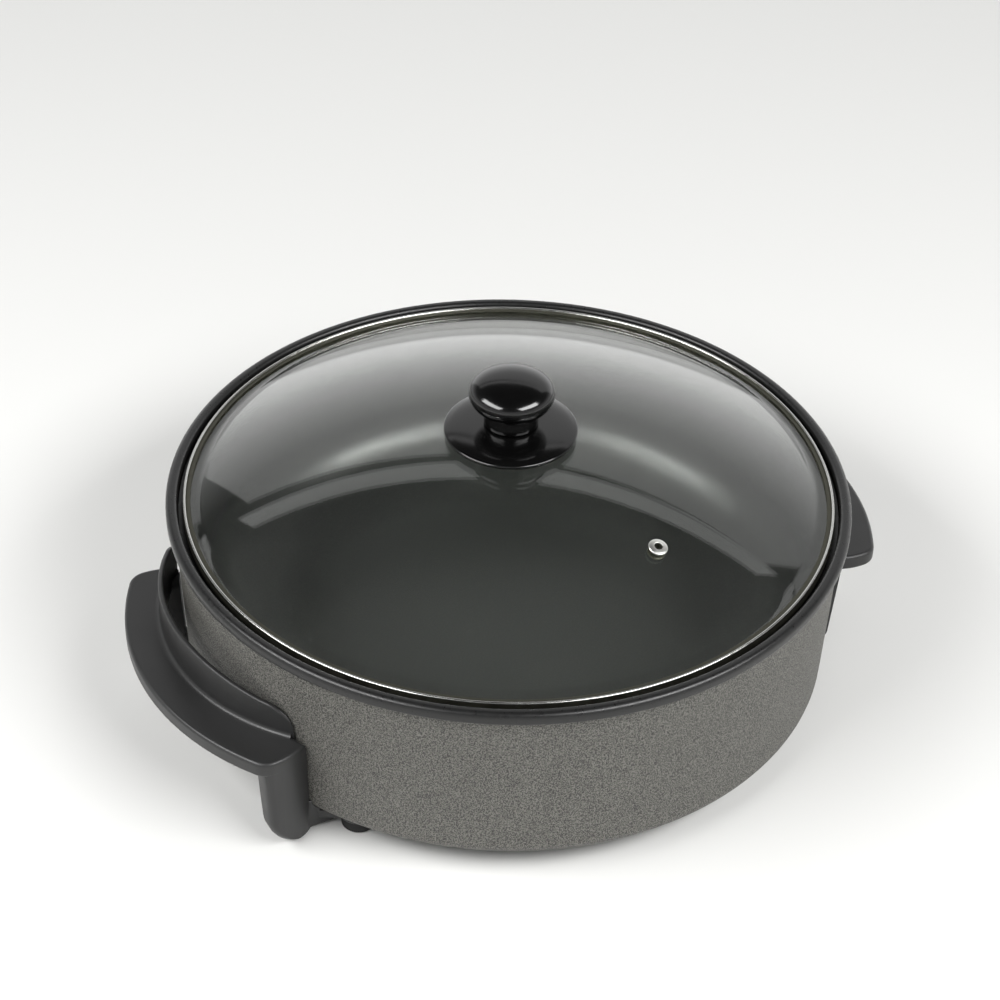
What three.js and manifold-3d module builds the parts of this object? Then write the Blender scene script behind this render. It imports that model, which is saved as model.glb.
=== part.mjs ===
// Electric skillet: a round cast pan on two moulded handles with feet, a tubular heating element
// under it, a socket for a plug-in control under the right handle, and a loose domed glass lid.
// Millimetres, +Z up. The origin is on the table below the centre of the pan, the handles lie
// along X, and the front of the pan faces -Y.
import * as THREE from 'three';
import { mergeVertices } from 'three/addons/utils/BufferGeometryUtils.js';
import Module from 'manifold-3d';

const wasm = await Module();
wasm.setup();

// Clearances
const seatGap = 0.3; // between pieces that rest on each other
const overrun = 1; // how far a cutting tool runs past the face that it cuts

// Pan casting
const rimRadius = 189.6; // outer radius of the black rim
const rimHeight = 121; // table to the top of the rim
const rimOverhang = 3.9; // rim past the outer wall
const rimDepth = 7; // height of the rim's outer face
const rimEdgeRadius = 2.3; // rounding at the rim's outer top edge
const rimTopWidth = 4; // flat on top of the rim
const wallDraft = 4.4; // wall radius lost from the rim to the bottom
const underClearance = 13.6; // table to the pan's underside
const outerFillet = 8; // rounding between wall and underside
const floorThickness = 4.4;
const innerDraft = 1; // inner wall radius lost towards the floor
const innerFillet = 30; // rounding between the cooking floor and the wall
const lidSeatDepth = 7.1; // rim top down to the ledge that carries the lid
const lidSeatWidth = 6.3; // ledge, from the rim's inner edge inwards
const bossRadius = 6; // screw bosses cast on the underside
const bossHeight = 3.4;
const blindFloor = 1.6; // metal left above a blind screw hole
const blindGap = 0.8; // hole past the screw's tip

// Heating element
const elementRadius = 95; // centre line of the ring
const sheathRadius = 3.3;
const pinSpacing = 25; // between the two contact pins
const pinHeight = 17; // table to the middle of the pins
const exitBend = 14; // bend from the ring to the cold ends
const riseBend = 9; // second bend of each cold end
const coldEndLength = 1.5; // straight piece behind the bends
const channelWall = 3; // thickness of the channel's two ribs

// Element clamps
const clampCount = 3; // spread evenly, away from the cold ends
const clampWidth = 12;
const clampThickness = 1.1;
const clampOverhang = 2.4; // bar past the inner rib
const clampBossGap = 1.4; // outer rib to the edge of the screw boss
const clampBossRadius = 5;
const clampScrewRadius = 1.9;
const smallHeadRadius = 3.6;
const smallHeadHeight = 2;

// Control socket
const pinRadius = 3;
const pinInset = 2; // pins and probe sleeve end this far inside the shroud's mouth
const insulatorRadius = 6;
const insulatorLength = 7;
const insulatorBehind = 2.5; // part of a bead behind the shroud's plate
const probeRadius = 4.2;
const probeWall = 0.9;
const shroudSheet = 1;
const shroudHeight = 28;
const shroudWidth = 58;
const shroudDepth = 16;
const shroudTabWidth = 8;
const shroudScrewRadius = 1.9;
const shroudBossInset = 13; // boss centre inside the edge of the pan's flat underside

// Handles
const shelfReach = 34.9; // grip's tip past the outer wall below the rim
const shelfArcRadius = 151.6; // outer edge of the grip
const shelfHalfWidth = 88.4;
const shelfCornerRadius = 11.5;
const shelfEndRadius = 35; // curve that runs from the corner in to the wall
const shelfEndSweep = 46; // degrees of that curve
const shelfThickness = 9;
const shelfTopBelowRim = 55.5;
const guardReach = 14.3; // guard's outer face past the outer wall, in the middle
const guardArcRadius = 120;
const guardThickness = 3;
const guardHalfWidth = 80;
const guardShift = -5; // guard's middle beside the grip's middle
const guardHeight = 24; // above the grip, in the middle
const guardEndDrop = 6; // how much lower the guard is where its ends start to round
const guardEndRadius = 10;
const wallGap = 3; // handle to pan wall
const legThickness = 15; // leg, from its outer side along Y
const deepLegTop = 6.6; // left leg's outer edge past the wall, below the grip
const deepLegTaper = 2.5; // lost from there to the foot
const deepLegRound = 20; // rounding at the foot of the left legs
const shallowLegTop = -13.2; // the same for the right legs
const shallowLegTaper = 3.5;
const shallowLegRound = 10;
const legLift = 2; // table to the underside of the arms
const armWidth = 12;
const armInset = 4.2; // arm's outer side inside the grip's outer side
const armInnerGap = 2.5; // arm's deep part ends this far from the foot
const tongueThickness = 5.6;
const tongueNeckWidth = 14;
const padRadius = 11;

// Feet
const footInset = 10.7; // foot centre inside the edge of the pan's flat underside
const footAngle = THREE.MathUtils.degToRad(32);
const footRadius = 9.5;
const footTaper = 1;
const footWasherRadius = 5.4;
const footWasherThickness = 1;
const footFloor = 2.2; // rubber between the washer and the arm
const footScrewRadius = 2.5;
const footHeadRadius = 4.4;
const footHeadHeight = 2.4;

// Lid
const lidEdgeGap = 2.9; // rim's inner edge to the lid's band
const glassThickness = 4;
const glassRise = 39.4; // flat edge of the glass up to the top of the dome
const glassEdgeFlat = 6; // width of the flat edge
const glassHoleRadius = 5; // hole for the knob's screw and its sleeve
const bandSheet = 0.6;
const bandBeadWidth = 3; // round bead along the band's outer edge
const bandBeadRise = 1; // bead above the lip
const bandLipWidth = 6.4; // whole upper lip of the band
const bandFootWidth = 4.6; // lower lip of the band

// Knob
const knobRadius = 23.4;
const knobHeight = 29; // head of the knob, from the skirt to its top
const knobWaistRadius = 14.7;
const knobFootRadius = 15.3;
const knobFootHeight = 1.6;
const knobCrown = 10; // height of the head above its widest line
const knobBelly = 11; // depth of the round that runs from there down to the waist
const knobBrim = 1.2; // thin lip at the widest line
const skirtRadius = 36.75;
const skirtEdge = 3.1; // height of the skirt's outer edge
const skirtRise = 4.9; // cone from there up to the head
const skirtWall = 2.2;
const sealRadius = 12;
const sealThickness = 1;
const insertRadius = 5;
const insertLength = 17;
const knobScrewRadius = 2.5;
const knobScrewHeadRadius = 4.8;
const knobScrewHeadHeight = 3;
const knobScrewReach = 12; // thread inside the insert
const innerDiscRadius = 21;
const innerDiscSteps = 3;
const innerDiscStepHeight = 3.3;
const innerDiscStepWidth = 3.8;
const gasketRadius = 17;

// Steam vent
const ventDistance = 112.4; // from the lid's axis
const ventAngle = THREE.MathUtils.degToRad(-75.8);
const ventFlangeRadius = 5.3;
const ventFlangeHeight = 1.5;
const ventBarrelRadius = 3.2;
const ventBoreRadius = 2;
const ventTailRadius = 4.8; // rolled end below the glass
const ventTailHeight = 1;
const ventSealThickness = 0.6;
const ventRimStep = 0.5; // seal inside the flange's edge

// Counts of facets
const roundSteps = 56;
const knobSteps = 32;
const footSteps = 20;
const smallSteps = 12;
const tubeSides = 8;

// Worked out from the sizes above
const wallTopRadius = rimRadius - rimOverhang;
const wallBottomRadius = wallTopRadius - wallDraft;
const flatRadius = wallBottomRadius - outerFillet;
const rimUnderside = rimHeight - rimDepth;
const rimInnerRadius = rimRadius - rimEdgeRadius - rimTopWidth;
const lidSeatHeight = rimHeight - lidSeatDepth;
const innerTopRadius = rimInnerRadius - lidSeatWidth;
const innerBottomRadius = innerTopRadius - innerDraft;
const cookingFloor = underClearance + floorThickness;
const bossFace = underClearance - bossHeight;
const sheathHeight = underClearance - seatGap - sheathRadius;
const ribHalfGap = sheathRadius + seatGap;
const ribFace = sheathHeight - sheathRadius;
const shelfTop = rimHeight - shelfTopBelowRim;
const shelfUnderside = shelfTop - shelfThickness;
const armTop = underClearance + outerFillet;
const tongueTop = underClearance - seatGap;
const tongueUnderside = tongueTop - tongueThickness;
const footRing = flatRadius - footInset;
const footX = footRing * Math.cos(footAngle);
const footY = footRing * Math.sin(footAngle);
const footTop = tongueUnderside - seatGap;
const lidRadius = rimInnerRadius - lidEdgeGap;

// A closed mesh becomes a solid: only positions are kept, shared points are merged, triangles
// without area are dropped, and all faces are turned outwards.
function solidOf(geometry) {
  const bare = new THREE.BufferGeometry();
  bare.setAttribute('position', geometry.getAttribute('position'));
  bare.setIndex(geometry.index);
  const merged = mergeVertices(bare, seatGap / 1000);
  const corners = merged.index.array;
  const kept = [];
  for (let i = 0; i < corners.length; i += 3) {
    const [a, b, c] = corners.slice(i, i + 3);
    if (a !== b && b !== c && c !== a) kept.push(a, b, c);
  }
  const vertProperties = merged.getAttribute('position').array;
  const makeSolid = (triVerts) => new wasm.Manifold(
    new wasm.Mesh({ numProp: 3, vertProperties, triVerts: Uint32Array.from(triVerts) }));
  const solid = makeSolid(kept);
  return solid.volume() > 0 ? solid : makeSolid(kept.reverse());
}

function geometryOf(solid) {
  const { vertProperties, triVerts } = solid.getMesh();
  const geometry = new THREE.BufferGeometry();
  geometry.setAttribute('position', new THREE.BufferAttribute(vertProperties, 3));
  geometry.setIndex(new THREE.BufferAttribute(triVerts, 1));
  geometry.computeVertexNormals();
  return geometry;
}

const joined = (solids) => solids.reduce((whole, solid) => whole.add(solid));
const cutBy = (solid, tools) => tools.reduce((left, tool) => left.subtract(tool), solid);

// Points along a round stretch, from one angle to another in degrees. A second radius makes the
// stretch part of an ellipse.
function arc(x, y, radius, from, to, steps, radiusY = radius) {
  return Array.from({ length: steps + 1 }, (_, i) => {
    const angle = THREE.MathUtils.degToRad(from + ((to - from) * i) / steps);
    return [x + radius * Math.cos(angle), y + radiusY * Math.sin(angle)];
  });
}

const degrees = THREE.MathUtils.radToDeg;
const vectors = (outline) => outline.map(([x, y]) => new THREE.Vector2(x, y));
const mirrorY = (outline) => outline.map(([x, y]) => [x, -y]).reverse();

// A profile of [radius, height] points turned round the Z axis. It starts and ends on the axis.
function turned(profile, steps = smallSteps) {
  return solidOf(new THREE.LatheGeometry(vectors(profile), steps).rotateX(Math.PI / 2));
}

// The same for a profile that closes on itself beside the axis.
const turnedRing = (profile, steps) => turned([...profile, profile[0]], steps);

const tube = (inner, outer, bottom, top, steps) =>
  turnedRing([[inner, bottom], [outer, bottom], [outer, top], [inner, top]], steps);

function rod(radius, bottom, top, x = 0, y = 0, steps = smallSteps) {
  const cylinder = new THREE.CylinderGeometry(radius, radius, top - bottom, steps);
  return solidOf(cylinder.rotateX(Math.PI / 2).translate(x, y, (bottom + top) / 2));
}

function rodAlongX(radius, from, to, y, z) {
  const cylinder = new THREE.CylinderGeometry(radius, radius, to - from, smallSteps);
  return solidOf(cylinder.rotateZ(Math.PI / 2).translate((from + to) / 2, y, z));
}

function block(corner, opposite) {
  const size = corner.map((value, axis) => Math.abs(opposite[axis] - value));
  const centre = corner.map((value, axis) => (value + opposite[axis]) / 2);
  return solidOf(new THREE.BoxGeometry(...size).translate(...centre));
}

function extruded(outline, depth) {
  const shape = new THREE.Shape(vectors(outline));
  return new THREE.ExtrudeGeometry(shape, { depth, bevelEnabled: false });
}

// An outline of [x, y] points, raised from one height to another.
const plate = (outline, bottom, top) =>
  solidOf(extruded(outline, top - bottom).translate(0, 0, bottom));

// An outline of [x, z] points, drawn out along Y to both sides.
const barAlongY = (outline, halfLength) =>
  solidOf(extruded(outline, halfLength * 2).rotateX(Math.PI / 2).translate(0, halfLength, 0));

// An outline of [y, z] points, drawn out along X from the origin.
const barAlongX = (outline, length) =>
  solidOf(extruded(outline, length).rotateX(Math.PI / 2).rotateZ(Math.PI / 2));

// Materials
const finish = (color, roughness, metalness = 0) =>
  new THREE.MeshStandardMaterial({ color, roughness, metalness });
const paint = finish(0x7b7b74, 0.6, 0.2);
const sheathMetal = finish(0x5f5a55, 0.5, 0.8);
const steel = finish(0xc8c8c4, 0.25, 1);
const zinc = finish(0xb4b2aa, 0.4, 0.9);
const nickel = finish(0xd2cfc6, 0.2, 1);
const brass = finish(0xc0a05a, 0.35, 1);
const ceramic = finish(0xe8e2d2, 0.7);
const moulding = finish(0x3a3a3a, 0.5);
const gloss = finish(0x0e0e0e, 0.12);
const rubber = finish(0x1c1c1c, 0.85);
const silicone = finish(0x2a2a2a, 0.7);
const glass = new THREE.MeshStandardMaterial({
  color: 0xdfe6e2, roughness: 0.05, transparent: true, opacity: 0.3 });

const skillet = new THREE.Group();
const lid = new THREE.Group();
skillet.add(lid);

function piece(name, solid, material, group = skillet) {
  const mesh = new THREE.Mesh(geometryOf(solid), material);
  mesh.name = name;
  group.add(mesh);
  return mesh;
}

// A screw with its head down: the head lies under a face, the shank points up to its tip.
function screw(face, headRadius, headHeight, shankRadius, tip) {
  const headTop = face - seatGap;
  const headBottom = headTop - headHeight;
  const profile = [
    [0, headBottom], [headRadius, headBottom], [headRadius, headTop],
    [shankRadius, headTop], [shankRadius, tip], [0, tip],
  ];
  const hexSocket = rod(headRadius / 2, headBottom - overrun, headBottom + headHeight / 2, 0, 0, 6);
  return cutBy(turned(profile), [hexSocket]);
}

// Pan
const screwTip = cookingFloor - blindFloor - blindGap;

function wallRadius(height) {
  const share = (height - underClearance) / (rimUnderside - underClearance);
  return wallBottomRadius + share * wallDraft;
}

// Underside and fillet, both moved outwards by a clearance.
function underProfile(clearance) {
  return [
    [0, underClearance - clearance],
    ...arc(flatRadius, underClearance + outerFillet, outerFillet + clearance, -90, 0, 4),
  ];
}

// One rib of the element's channel, as it stands below the underside.
const ribProfile = (near) => [
  [near, underClearance], [near, ribFace],
  [near + channelWall, ribFace], [near + channelWall, underClearance],
];

function panProfile() {
  const [axisPoint, ...fillet] = underProfile(0);
  return [
    axisPoint,
    ...ribProfile(elementRadius - ribHalfGap - channelWall),
    ...ribProfile(elementRadius + ribHalfGap),
    ...fillet,
    [wallTopRadius, rimUnderside],
    [rimRadius, rimUnderside],
    ...arc(rimRadius - rimEdgeRadius, rimHeight - rimEdgeRadius, rimEdgeRadius, 0, 90, 2),
    [rimInnerRadius, rimHeight],
    [rimInnerRadius, lidSeatHeight],
    [innerTopRadius, lidSeatHeight],
    ...arc(innerBottomRadius - innerFillet, cookingFloor + innerFillet, innerFillet, 0, -90, 5),
    [0, cookingFloor],
  ];
}

// Screw places on the pan's underside
const footPlaces = [[-1, -1], [-1, 1], [1, -1], [1, 1]].map(([x, y]) => [x * footX, y * footY]);
const clampScrewDistance =
  elementRadius + ribHalfGap + channelWall + clampBossGap + clampBossRadius;
const clampAngles = Array.from({ length: clampCount }, (_, i) =>
  (2 * Math.PI * (i + 1 / 2)) / clampCount);
const clampScrewPlaces = clampAngles.map((angle) =>
  [clampScrewDistance * Math.cos(angle), clampScrewDistance * Math.sin(angle)]);
const shroudTabY = (shroudWidth - shroudTabWidth) / 2;
const shroudScrewX = Math.sqrt(flatRadius ** 2 - shroudTabY ** 2) - shroudBossInset;
const shroudScrewPlaces = [-1, 1].map((side) => [shroudScrewX, side * shroudTabY]);

const bosses = (places, radius, face) => places.map(([x, y]) =>
  rod(radius, face, underClearance + floorThickness / 2, x, y));

const blindHoles = (places, screwRadius, face) => places.map(([x, y]) =>
  rod(screwRadius + seatGap, face - overrun, cookingFloor - blindFloor, x, y));

function pan() {
  const exitHalfWidth = pinSpacing / 2 + exitBend;
  const elementExit = block(
    [elementRadius - ribHalfGap - channelWall - exitBend, -exitHalfWidth, ribFace - overrun],
    [elementRadius + ribHalfGap + channelWall + overrun, exitHalfWidth, underClearance]);
  const casting = cutBy(turned(panProfile(), roundSteps), [elementExit]);
  const withBosses = joined([
    casting,
    ...bosses(footPlaces, bossRadius, bossFace),
    ...bosses(clampScrewPlaces, clampBossRadius, ribFace),
    ...bosses(shroudScrewPlaces, bossRadius, bossFace),
  ]);
  return cutBy(withBosses, [
    ...blindHoles(footPlaces, footScrewRadius, bossFace),
    ...blindHoles(clampScrewPlaces, clampScrewRadius, ribFace),
    ...blindHoles(shroudScrewPlaces, shroudScrewRadius, bossFace),
  ]);
}

// Heating element: an open ring whose two ends turn outwards, then rise past the pan's fillet
class BentPath extends THREE.Curve {
  constructor(points) {
    super();
    this.points = points;
  }

  getPoint(t) {
    return this.points[Math.round(t * (this.points.length - 1))];
  }

  getPointAt(t) {
    return this.getPoint(t);
  }

  getTangentAt(t) {
    const last = this.points.length - 1;
    const i = Math.round(t * last);
    const before = this.points[Math.max(i - 1, 0)];
    const after = this.points[Math.min(i + 1, last)];
    return after.clone().sub(before).normalize();
  }
}

const pinY = pinSpacing / 2;
const exitCentreY = pinY + exitBend;
const exitCentreX = Math.sqrt((elementRadius + exitBend) ** 2 - exitCentreY ** 2);
const exitAngle = degrees(Math.atan2(exitCentreY, exitCentreX));
const riseStartX = Math.sqrt(flatRadius ** 2 - pinY ** 2);
const firstRiseBend = outerFillet + seatGap + sheathRadius;
const riseRadians = Math.acos(1 - (pinHeight - sheathHeight) / (firstRiseBend + riseBend));
const riseEndX = riseStartX + (firstRiseBend + riseBend) * Math.sin(riseRadians);
const sheathEndX = riseEndX + coldEndLength;

function elementPath() {
  const atSheathHeight = ([x, y]) => new THREE.Vector3(x, y, sheathHeight);
  const riseAngle = degrees(riseRadians);
  const rise = [
    ...arc(riseStartX, sheathHeight + firstRiseBend, firstRiseBend, -90, riseAngle - 90, 4),
    ...arc(riseEndX, pinHeight - riseBend, riseBend, riseAngle + 90, 90, 4).slice(1),
    [sheathEndX, pinHeight],
  ];
  const end = [
    ...arc(exitCentreX, exitCentreY, exitBend, exitAngle + 180, 270, 4).map(atSheathHeight),
    ...rise.map(([x, z]) => new THREE.Vector3(x, pinY, z)),
  ];
  const otherEnd = end.map((point) => new THREE.Vector3(point.x, -point.y, point.z));
  const ring = arc(0, 0, elementRadius, exitAngle, 360 - exitAngle, 36).slice(1, -1);
  return new BentPath([...end.reverse(), ...ring.map(atSheathHeight), ...otherEnd]);
}

function heatingElement() {
  const path = elementPath();
  const section = new THREE.Shape(vectors(arc(0, 0, sheathRadius, 0, 360, tubeSides).slice(1)));
  const settings = { steps: path.points.length - 1, extrudePath: path, bevelEnabled: false };
  return solidOf(new THREE.ExtrudeGeometry(section, settings));
}

// Element clamps: a bar under both ribs, with one screw in a boss outside the channel
const clampTop = ribFace - seatGap;
const clampUnderside = clampTop - clampThickness;

function elementClamp() {
  const from = elementRadius - ribHalfGap - channelWall - clampOverhang;
  const to = clampScrewDistance + clampWidth / 2;
  const bar = block([from, -clampWidth / 2, clampUnderside], [to, clampWidth / 2, clampTop]);
  const hole = rod(clampScrewRadius + seatGap, clampUnderside - overrun, clampTop + overrun,
    clampScrewDistance, 0);
  return cutBy(bar, [hole]);
}

// Control socket
const pinStartX = sheathEndX + seatGap;
const shroudPlateX = pinStartX + insulatorBehind;
const shroudFrontX = shroudPlateX + shroudSheet + shroudDepth;
const shroudTabTop = bossFace - seatGap;
const shroudTabUnderside = shroudTabTop - shroudSheet;

const terminalPin = (side) =>
  rodAlongX(pinRadius, pinStartX, shroudFrontX - pinInset, side * pinY, pinHeight);

function pinInsulator(side) {
  const end = pinStartX + insulatorLength;
  const bead = rodAlongX(insulatorRadius, pinStartX, end, side * pinY, pinHeight);
  const bore = rodAlongX(pinRadius + seatGap, pinStartX - overrun, end + overrun,
    side * pinY, pinHeight);
  return cutBy(bead, [bore]);
}

function probeSleeve() {
  const closedEnd = wallRadius(pinHeight + probeRadius) + seatGap;
  const mouth = shroudFrontX - pinInset;
  const sleeve = rodAlongX(probeRadius, closedEnd, mouth, 0, pinHeight);
  const bore = rodAlongX(probeRadius - probeWall, closedEnd + probeWall, mouth + overrun,
    0, pinHeight);
  return cutBy(sleeve, [bore]);
}

function socketShroud() {
  const low = pinHeight - shroudHeight / 2;
  const high = pinHeight + shroudHeight / 2;
  const halfWidth = shroudWidth / 2;
  const shell = block([shroudPlateX, -halfWidth, low], [shroudFrontX, halfWidth, high]);
  const hollow = block(
    [shroudPlateX + shroudSheet, shroudSheet - halfWidth, low + shroudSheet],
    [shroudFrontX + overrun, halfWidth - shroudSheet, high - shroudSheet]);
  const tabs = shroudScrewPlaces.map(([x, y]) => block(
    [x - bossRadius, y - shroudTabWidth / 2, shroudTabUnderside],
    [shroudPlateX + shroudSheet, y + shroudTabWidth / 2, shroudTabTop]));
  const drill = (radius, y) => rodAlongX(radius + seatGap, shroudPlateX - overrun,
    shroudPlateX + shroudSheet + overrun, y, pinHeight);
  const screwHoles = shroudScrewPlaces.map(([x, y]) => rod(shroudScrewRadius + seatGap,
    shroudTabUnderside - overrun, shroudTabTop + overrun, x, y));
  return cutBy(joined([cutBy(shell, [hollow]), ...tabs]), [
    drill(insulatorRadius, -pinY), drill(insulatorRadius, pinY), drill(probeRadius, 0),
    ...screwHoles,
  ]);
}

// Handles, drawn for the right side, where +X points away from the pan
const shelfCentreX = wallTopRadius + shelfReach - shelfArcRadius;
const guardCentreX = wallTopRadius + guardReach - guardArcRadius;
const guardInnerRadius = guardArcRadius - guardThickness;
const legTopHeight = shelfUnderside + shelfThickness / 2;

function shelfOutline() {
  const cornerY = shelfHalfWidth - shelfCornerRadius;
  const reach = shelfArcRadius - shelfCornerRadius;
  const cornerX = shelfCentreX + Math.sqrt(reach ** 2 - cornerY ** 2);
  const cornerAngle = degrees(Math.asin(cornerY / reach));
  const endCurve = arc(cornerX, shelfHalfWidth - shelfEndRadius, shelfEndRadius,
    90, 90 + shelfEndSweep, 4);
  const innerY = endCurve[endCurve.length - 1][1];
  const innerAngle = (y) => degrees(Math.asin((y - guardShift) / guardInnerRadius));
  const half = [
    ...arc(shelfCentreX, 0, shelfArcRadius, 0, cornerAngle, 7),
    ...arc(cornerX, cornerY, shelfCornerRadius, cornerAngle, 90, 5).slice(1),
    ...endCurve.slice(1),
  ];
  const inner = arc(guardCentreX, guardShift, guardInnerRadius,
    innerAngle(innerY), innerAngle(-innerY), 16);
  return [...half, ...inner.slice(1, -1), ...mirrorY(half).slice(0, -1)];
}

function fingerGuard() {
  const sweep = degrees(Math.asin((guardHalfWidth + overrun) / guardInnerRadius));
  const band = [
    ...arc(guardCentreX, guardShift, guardArcRadius, -sweep, sweep, 18),
    ...arc(guardCentreX, guardShift, guardInnerRadius, sweep, -sweep, 18),
  ];
  const top = shelfTop + guardHeight;
  const halfCrest = guardHalfWidth - guardEndRadius;
  const crestShares = [0, 1 / 4, 1 / 2, 3 / 4];
  const half = [
    ...crestShares.map((share) => [share * halfCrest, top - share ** 2 * guardEndDrop]),
    ...arc(halfCrest, top - guardEndDrop - guardEndRadius, guardEndRadius, 90, 0, 5),
    [guardHalfWidth, shelfUnderside],
  ];
  const otherHalf = half.slice(1).map(([y, z]) => [-y, z]).reverse();
  const outline = [...half, ...otherHalf].map(([y, z]) => [y + guardShift, z]);
  const sideView = barAlongX(outline, guardCentreX + guardArcRadius + overrun);
  return plate(band, shelfUnderside, top + overrun).intersect(sideView);
}

// Room for the pan: close to its underside, and a wider gap beside its wall
function panRoom() {
  const top = shelfTop + guardHeight + overrun * 2;
  return turned([
    ...underProfile(seatGap),
    [wallRadius(armTop) + wallGap, armTop],
    [wallRadius(top) + wallGap, top],
    [0, top],
  ], roundSteps);
}

// Two legs below the ends of the grip, each with an arm that runs in under the pan
const armInnerX = footX + footRadius + armInnerGap;
const armOuterY = shelfHalfWidth - armInset;

function legs(legTop, legTaper, legRound) {
  const topX = wallTopRadius + legTop;
  const footEndX = topX - legTaper;
  const side = [
    [armInnerX, legLift],
    ...arc(footEndX - legRound, legLift + legRound, legRound, -90, 0, 6),
    [topX, legTopHeight],
    [armInnerX, legTopHeight],
  ];
  const columns = cutBy(plate(shelfOutline(), legLift, legTopHeight), [
    block([0, legThickness - shelfHalfWidth, 0],
      [shelfCentreX + shelfArcRadius + overrun, shelfHalfWidth - legThickness, shelfTop]),
  ]);
  const arms = [-1, 1].map((sign) => block(
    [armInnerX, sign * (armOuterY - armWidth), legLift], [footEndX, sign * armOuterY, armTop]));
  return joined([columns, ...arms]).intersect(barAlongY(side, shelfHalfWidth + overrun));
}

// Tongues at the ends of the arms, which the feet and their screws clamp to the pan
function tongues() {
  const armY = armOuterY - armWidth / 2;
  const startX = armInnerX + armWidth / 2;
  const length = Math.hypot(startX - footX, footY - armY);
  const [sideX, sideY] = [(footY - armY) / length, (startX - footX) / length]
    .map((share) => (share * tongueNeckWidth) / 2);
  const neck = [
    [startX - sideX, armY - sideY], [startX + sideX, armY + sideY],
    [footX + sideX, footY + sideY], [footX - sideX, footY - sideY],
  ];
  return [
    plate(neck, tongueUnderside, tongueTop),
    plate(mirrorY(neck), tongueUnderside, tongueTop),
    rod(padRadius, tongueUnderside, tongueTop, footX, footY),
    rod(padRadius, tongueUnderside, tongueTop, footX, -footY),
  ];
}

function handle(legTop, legTaper, legRound) {
  const body = joined([
    plate(shelfOutline(), shelfUnderside, shelfTop),
    fingerGuard(),
    legs(legTop, legTaper, legRound),
    ...tongues(),
  ]);
  const holes = [-footY, footY].flatMap((y) => [
    rod(bossRadius + seatGap, bossFace - seatGap, tongueTop + overrun, footX, y),
    rod(footScrewRadius + seatGap, tongueUnderside - overrun, tongueTop, footX, y),
  ]);
  return cutBy(body, [panRoom(), ...holes]);
}

// Feet
const footWasherTop = footTop - footFloor - seatGap;

function foot() {
  const bore = footScrewRadius + seatGap;
  const recess = footWasherRadius + seatGap;
  return turnedRing([
    [recess, 0], [footRadius - footTaper, 0], [footRadius, footTaper], [footRadius, footTop],
    [bore, footTop], [bore, footTop - footFloor], [recess, footTop - footFloor],
  ], footSteps);
}

// Lid
const bandUnderside = lidSeatHeight + seatGap;
const glassRadius = lidRadius - bandSheet - seatGap;
const domeRadius = glassRadius - glassEdgeFlat;
const glassEdgeUnderside = bandUnderside + bandSheet + seatGap;
const glassEdgeTop = glassEdgeUnderside + glassThickness;
const domeCurve = (domeRadius ** 2 + glassRise ** 2) / (2 * glassRise);
const domeTop = glassEdgeTop + glassRise;
const domeCentre = domeTop - domeCurve;
const domeHeight = (radius, curve = domeCurve) => domeCentre + Math.sqrt(curve ** 2 - radius ** 2);
const innerCurve = domeCurve - glassThickness;

const ventNormal = new THREE.Vector3(
  ventDistance * Math.cos(ventAngle),
  ventDistance * Math.sin(ventAngle),
  domeHeight(ventDistance) - domeCentre,
).normalize();
const ventPlace = ventNormal.clone().multiplyScalar(domeCurve)
  .add(new THREE.Vector3(0, 0, domeCentre));
const ventTurn = new THREE.Quaternion().setFromUnitVectors(new THREE.Vector3(0, 0, 1), ventNormal);

// Both sides of the dome run through rings of points where the vent and the knob sit.
function lidGlass() {
  const innerEdge = Math.sqrt(innerCurve ** 2 - (glassEdgeUnderside - domeCentre) ** 2);
  const dome = (curve, edge) => [
    edge, (edge + ventDistance) / 2, ventDistance, (ventDistance + skirtRadius) / 2,
    skirtRadius, gasketRadius, 0,
  ].map((radius) => [radius, domeHeight(radius, curve)]);
  const blank = turned([
    ...dome(innerCurve, innerEdge).reverse(),
    [glassRadius, glassEdgeUnderside],
    [glassRadius, glassEdgeTop],
    ...dome(domeCurve, domeRadius),
  ], roundSteps);
  const knobHole = rod(glassHoleRadius, domeTop - glassThickness - overrun, domeTop + overrun);
  const ventDrill = new THREE.CylinderGeometry(ventBarrelRadius + seatGap,
    ventBarrelRadius + seatGap, glassThickness * 3, smallSteps)
    .rotateX(Math.PI / 2).applyQuaternion(ventTurn).translate(...ventPlace);
  return cutBy(blank, [knobHole, solidOf(ventDrill)]);
}

function lidBand() {
  const lipTop = glassEdgeTop + seatGap + bandSheet;
  const inner = lidRadius - bandSheet;
  const beadCentre = lidRadius - bandBeadWidth / 2;
  return turnedRing([
    [lidRadius - bandFootWidth, bandUnderside],
    [lidRadius, bandUnderside],
    ...arc(beadCentre, lipTop, bandBeadWidth / 2, 0, 180, 3, bandBeadRise),
    [lidRadius - bandLipWidth, lipTop],
    [lidRadius - bandLipWidth, lipTop - bandSheet],
    [inner, lipTop - bandSheet],
    [inner, bandUnderside + bandSheet],
    [lidRadius - bandFootWidth, bandUnderside + bandSheet],
  ], roundSteps);
}

// Knob, from the glass upwards
const screwBore = knobScrewRadius + seatGap;
const sealBottom = domeTop + seatGap;
const sealTop = sealBottom + sealThickness;
const skirtBottom = domeHeight(skirtRadius) + seatGap;
const skirtTop = skirtBottom + skirtEdge + skirtRise;
const knobBottom = skirtTop + seatGap;

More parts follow.
